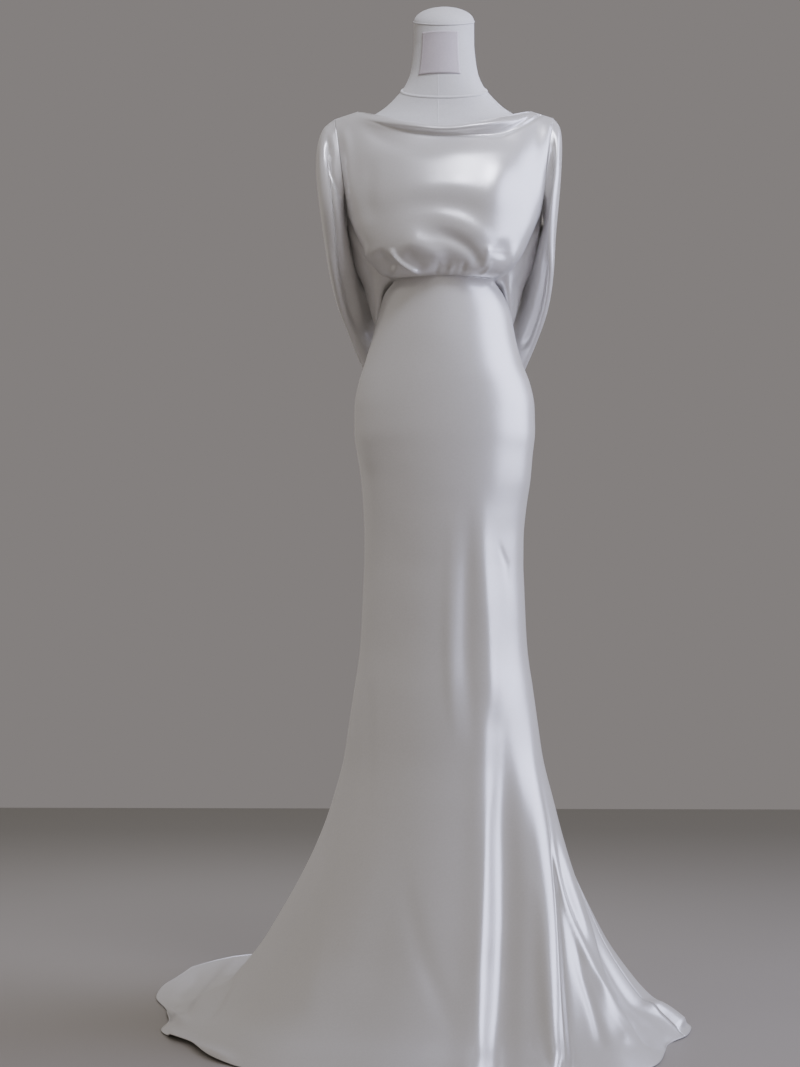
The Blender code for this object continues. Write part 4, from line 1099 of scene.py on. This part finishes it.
def stitches(name, starts, ends, lift, surface):
    """Short rounded stitches, each a low six-sided bar between two points."""
    points, faces = [], []
    for a, b in zip(starts, ends):
        run = unit(b - a)
        out = unit(a * (1, 1, 0))
        side = np.cross(run, out)
        at = len(points)
        for share, size in ((0, .35), (.15, 1), (.85, 1), (1, .35)):
            for turn in np.arange(6) * np.pi / 3:
                points.append(a + (b - a) * share + out * (lift + size * THREAD_HIGH * np.sin(turn))
                              + side * size * THREAD_WIDE * np.cos(turn))
        for r in range(3):
            faces += [(at + r * 6 + s, at + r * 6 + (s + 1) % 6, at + (r + 1) * 6 + (s + 1) % 6,
                       at + (r + 1) * 6 + s) for s in range(6)]
        faces += [tuple(at + s for s in reversed(range(6))), tuple(at + 18 + s for s in range(6))]
    return mesh_piece(name, points, faces, surface, np.array(points)[:, (0, 2)])


half_wide, half_tall = (size / 2 - STITCH_INSET for size in LABEL_SIZE)
corners = ((-half_wide, half_tall), (half_wide, half_tall),
           (half_wide, -half_tall), (-half_wide, -half_tall))
starts, ends = [], []
for (x0, z0), (x1, z1) in zip(corners, corners[1:] + corners[:1]):
    count = int(np.hypot(x1 - x0, z1 - z0) / STITCH_PITCH)
    for k in range(count):
        for share, keep in ((k / count, starts), ((k + STITCH_SHARE) / count, ends)):
            keep.append(on_label(np.array(x0 + (x1 - x0) * share + LABEL_MIDDLE[0]),
                                 np.array(z0 + (z1 - z0) * share + LABEL_MIDDLE[1]), LABEL_CARD))
label_stitches = stitches("form_label_stitches", starts, ends, STITCH_LIFT, sewing_thread)
print(len(starts), "stitches round the label")

# %% [markdown]
# The stand is hidden under the skirt: a turned base plate and a pole. Its solids have the
# right shape already, so they stay as they are and only take a brushed metal.

# %% Stand
for name in ("stand_base", "stand_pole"):
    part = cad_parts[name]
    part.data.materials.clear()
    part.data.materials.append(stand_metal)
    print(name, "takes", stand_metal.name)

# %% [markdown]
# For each panel the length across every row of the finished cloth is summed, round the
# whole tube for the sleeves; nothing more is done with these lengths.


def declare(grid, closed=False):
    across = np.linalg.norm(np.diff(grid, axis=1), axis=-1).sum(axis=1)
    if closed:
        across = across + np.linalg.norm(grid[:, 0] - grid[:, -1], axis=-1)


for name, piece in skirt.items():
    declare(skirt_grids[name])
declare(front_grid)
declare(back_grid)
for side, piece in sleeves.items():
    declare(sleeve_grids[side], closed=True)

# %% [markdown]
# The room is a plain studio: a pale warm-grey floor that ends where a wall would stand,
# and a plain grey beyond it. One large window light stands at the right, a little behind
# the dress's front, so only what turns to the right shines. A small light from above brings
# out the chest, and the even warm surround keeps the left side flat, as the photo has it.

# %% Floor, light and background
FLOOR_HALF, FLOOR_END = 9, 3.12     # the floor ends where the wall would stand
# the far tone is painted shade: the floor darkens towards the wall as if less light reached it
FLOOR_NEAR, FLOOR_FAR_SHADE = (.44, .41, .37, 1), (.19, .18, .155, 1)


def plain_floor():
    """A plain floor, darkened towards its far end with painted shade."""
    made = bpy.data.materials.new("floor_coat")
    made.use_nodes = True
    tree = made.node_tree
    shader = tree.nodes["Principled BSDF"]
    tone = add_node(tree, "ShaderNodeGroup", node_tree=drift)
    tone.inputs["Light tone"].default_value = FLOOR_NEAR
    tone.inputs["Deep tone"].default_value = (.42, .39, .35, 1)
    tone.inputs["Patches per metre"].default_value = 1.5
    place = add_node(tree, "ShaderNodeSeparateXYZ",
                     {0: add_node(tree, "ShaderNodeTexCoord").outputs["Object"]})
    # painted shade: the floor's colour is mixed towards the dark far tone with distance
    depth = add_node(tree, "ShaderNodeMapRange",
                     {"Value": place.outputs["Y"], "From Min": -.6, "From Max": 2.6, "To Max": 1.0})
    far = add_node(tree, "ShaderNodeMix",
                   {"Factor": depth.outputs[0], 6: tone.outputs["Colour"], 7: FLOOR_FAR_SHADE},
                   data_type="RGBA")
    tree.links.new(far.outputs[2], shader.inputs["Base Color"])
    shader.inputs["Roughness"].default_value = .42
    shader.inputs["Specular IOR Level"].default_value = .3
    mesh = bpy.data.meshes.new("floor")
    mesh.from_pydata([(-FLOOR_HALF, -FLOOR_HALF, 0), (FLOOR_HALF, -FLOOR_HALF, 0),
                      (FLOOR_HALF, FLOOR_END, 0), (-FLOOR_HALF, FLOOR_END, 0)], [], [(0, 1, 2, 3)])
    mesh.materials.append(made)
    floor = bpy.data.objects.new("floor", mesh)
    bpy.context.collection.objects.link(floor)


def soft_light(name, place, aim, size, power, colour, spread=180):
    """A soft rectangular light that stands at one place and looks at another."""
    light = bpy.data.lights.new(name, "AREA")
    light.spread = np.radians(spread)
    light.shape = "RECTANGLE"
    light.size, light.size_y = size
    light.energy = power
    light.color = colour
    lamp = bpy.data.objects.new(name, light)
    bpy.context.collection.objects.link(lamp)
    lamp.location = place
    lamp.rotation_euler = (Vector(aim) - Vector(place)).to_track_quat("-Z", "Y").to_euler()


plain_floor()
soft_light("window", (3.0, -.2, 2.0), (0, 0, 1.2), (3.2, 2.6), 96, (.90, .95, 1.34))
soft_light("upper light", (.5, -1.05, 3.1), (.05, -.15, 1.9), (1.8, 1.0), 4.2, (.94, .96, 1.16), 34)

world = bpy.data.worlds.new("studio grey")
bpy.context.scene.world = world
world.use_nodes = True
tree = world.node_tree
for node in list(tree.nodes):
    tree.nodes.remove(node)
seen = add_node(tree, "ShaderNodeBackground", {"Color": (.235, .217, .212, 1), "Strength": 1.0})
cast = add_node(tree, "ShaderNodeBackground", {"Color": (.52, .485, .46, 1), "Strength": .70})
path = add_node(tree, "ShaderNodeLightPath")
blend = add_node(tree, "ShaderNodeMixShader",
                 {0: path.outputs["Is Camera Ray"], 1: cast.outputs[0], 2: seen.outputs[0]})
add_node(tree, "ShaderNodeOutputWorld", {"Surface": blend.outputs[0]})
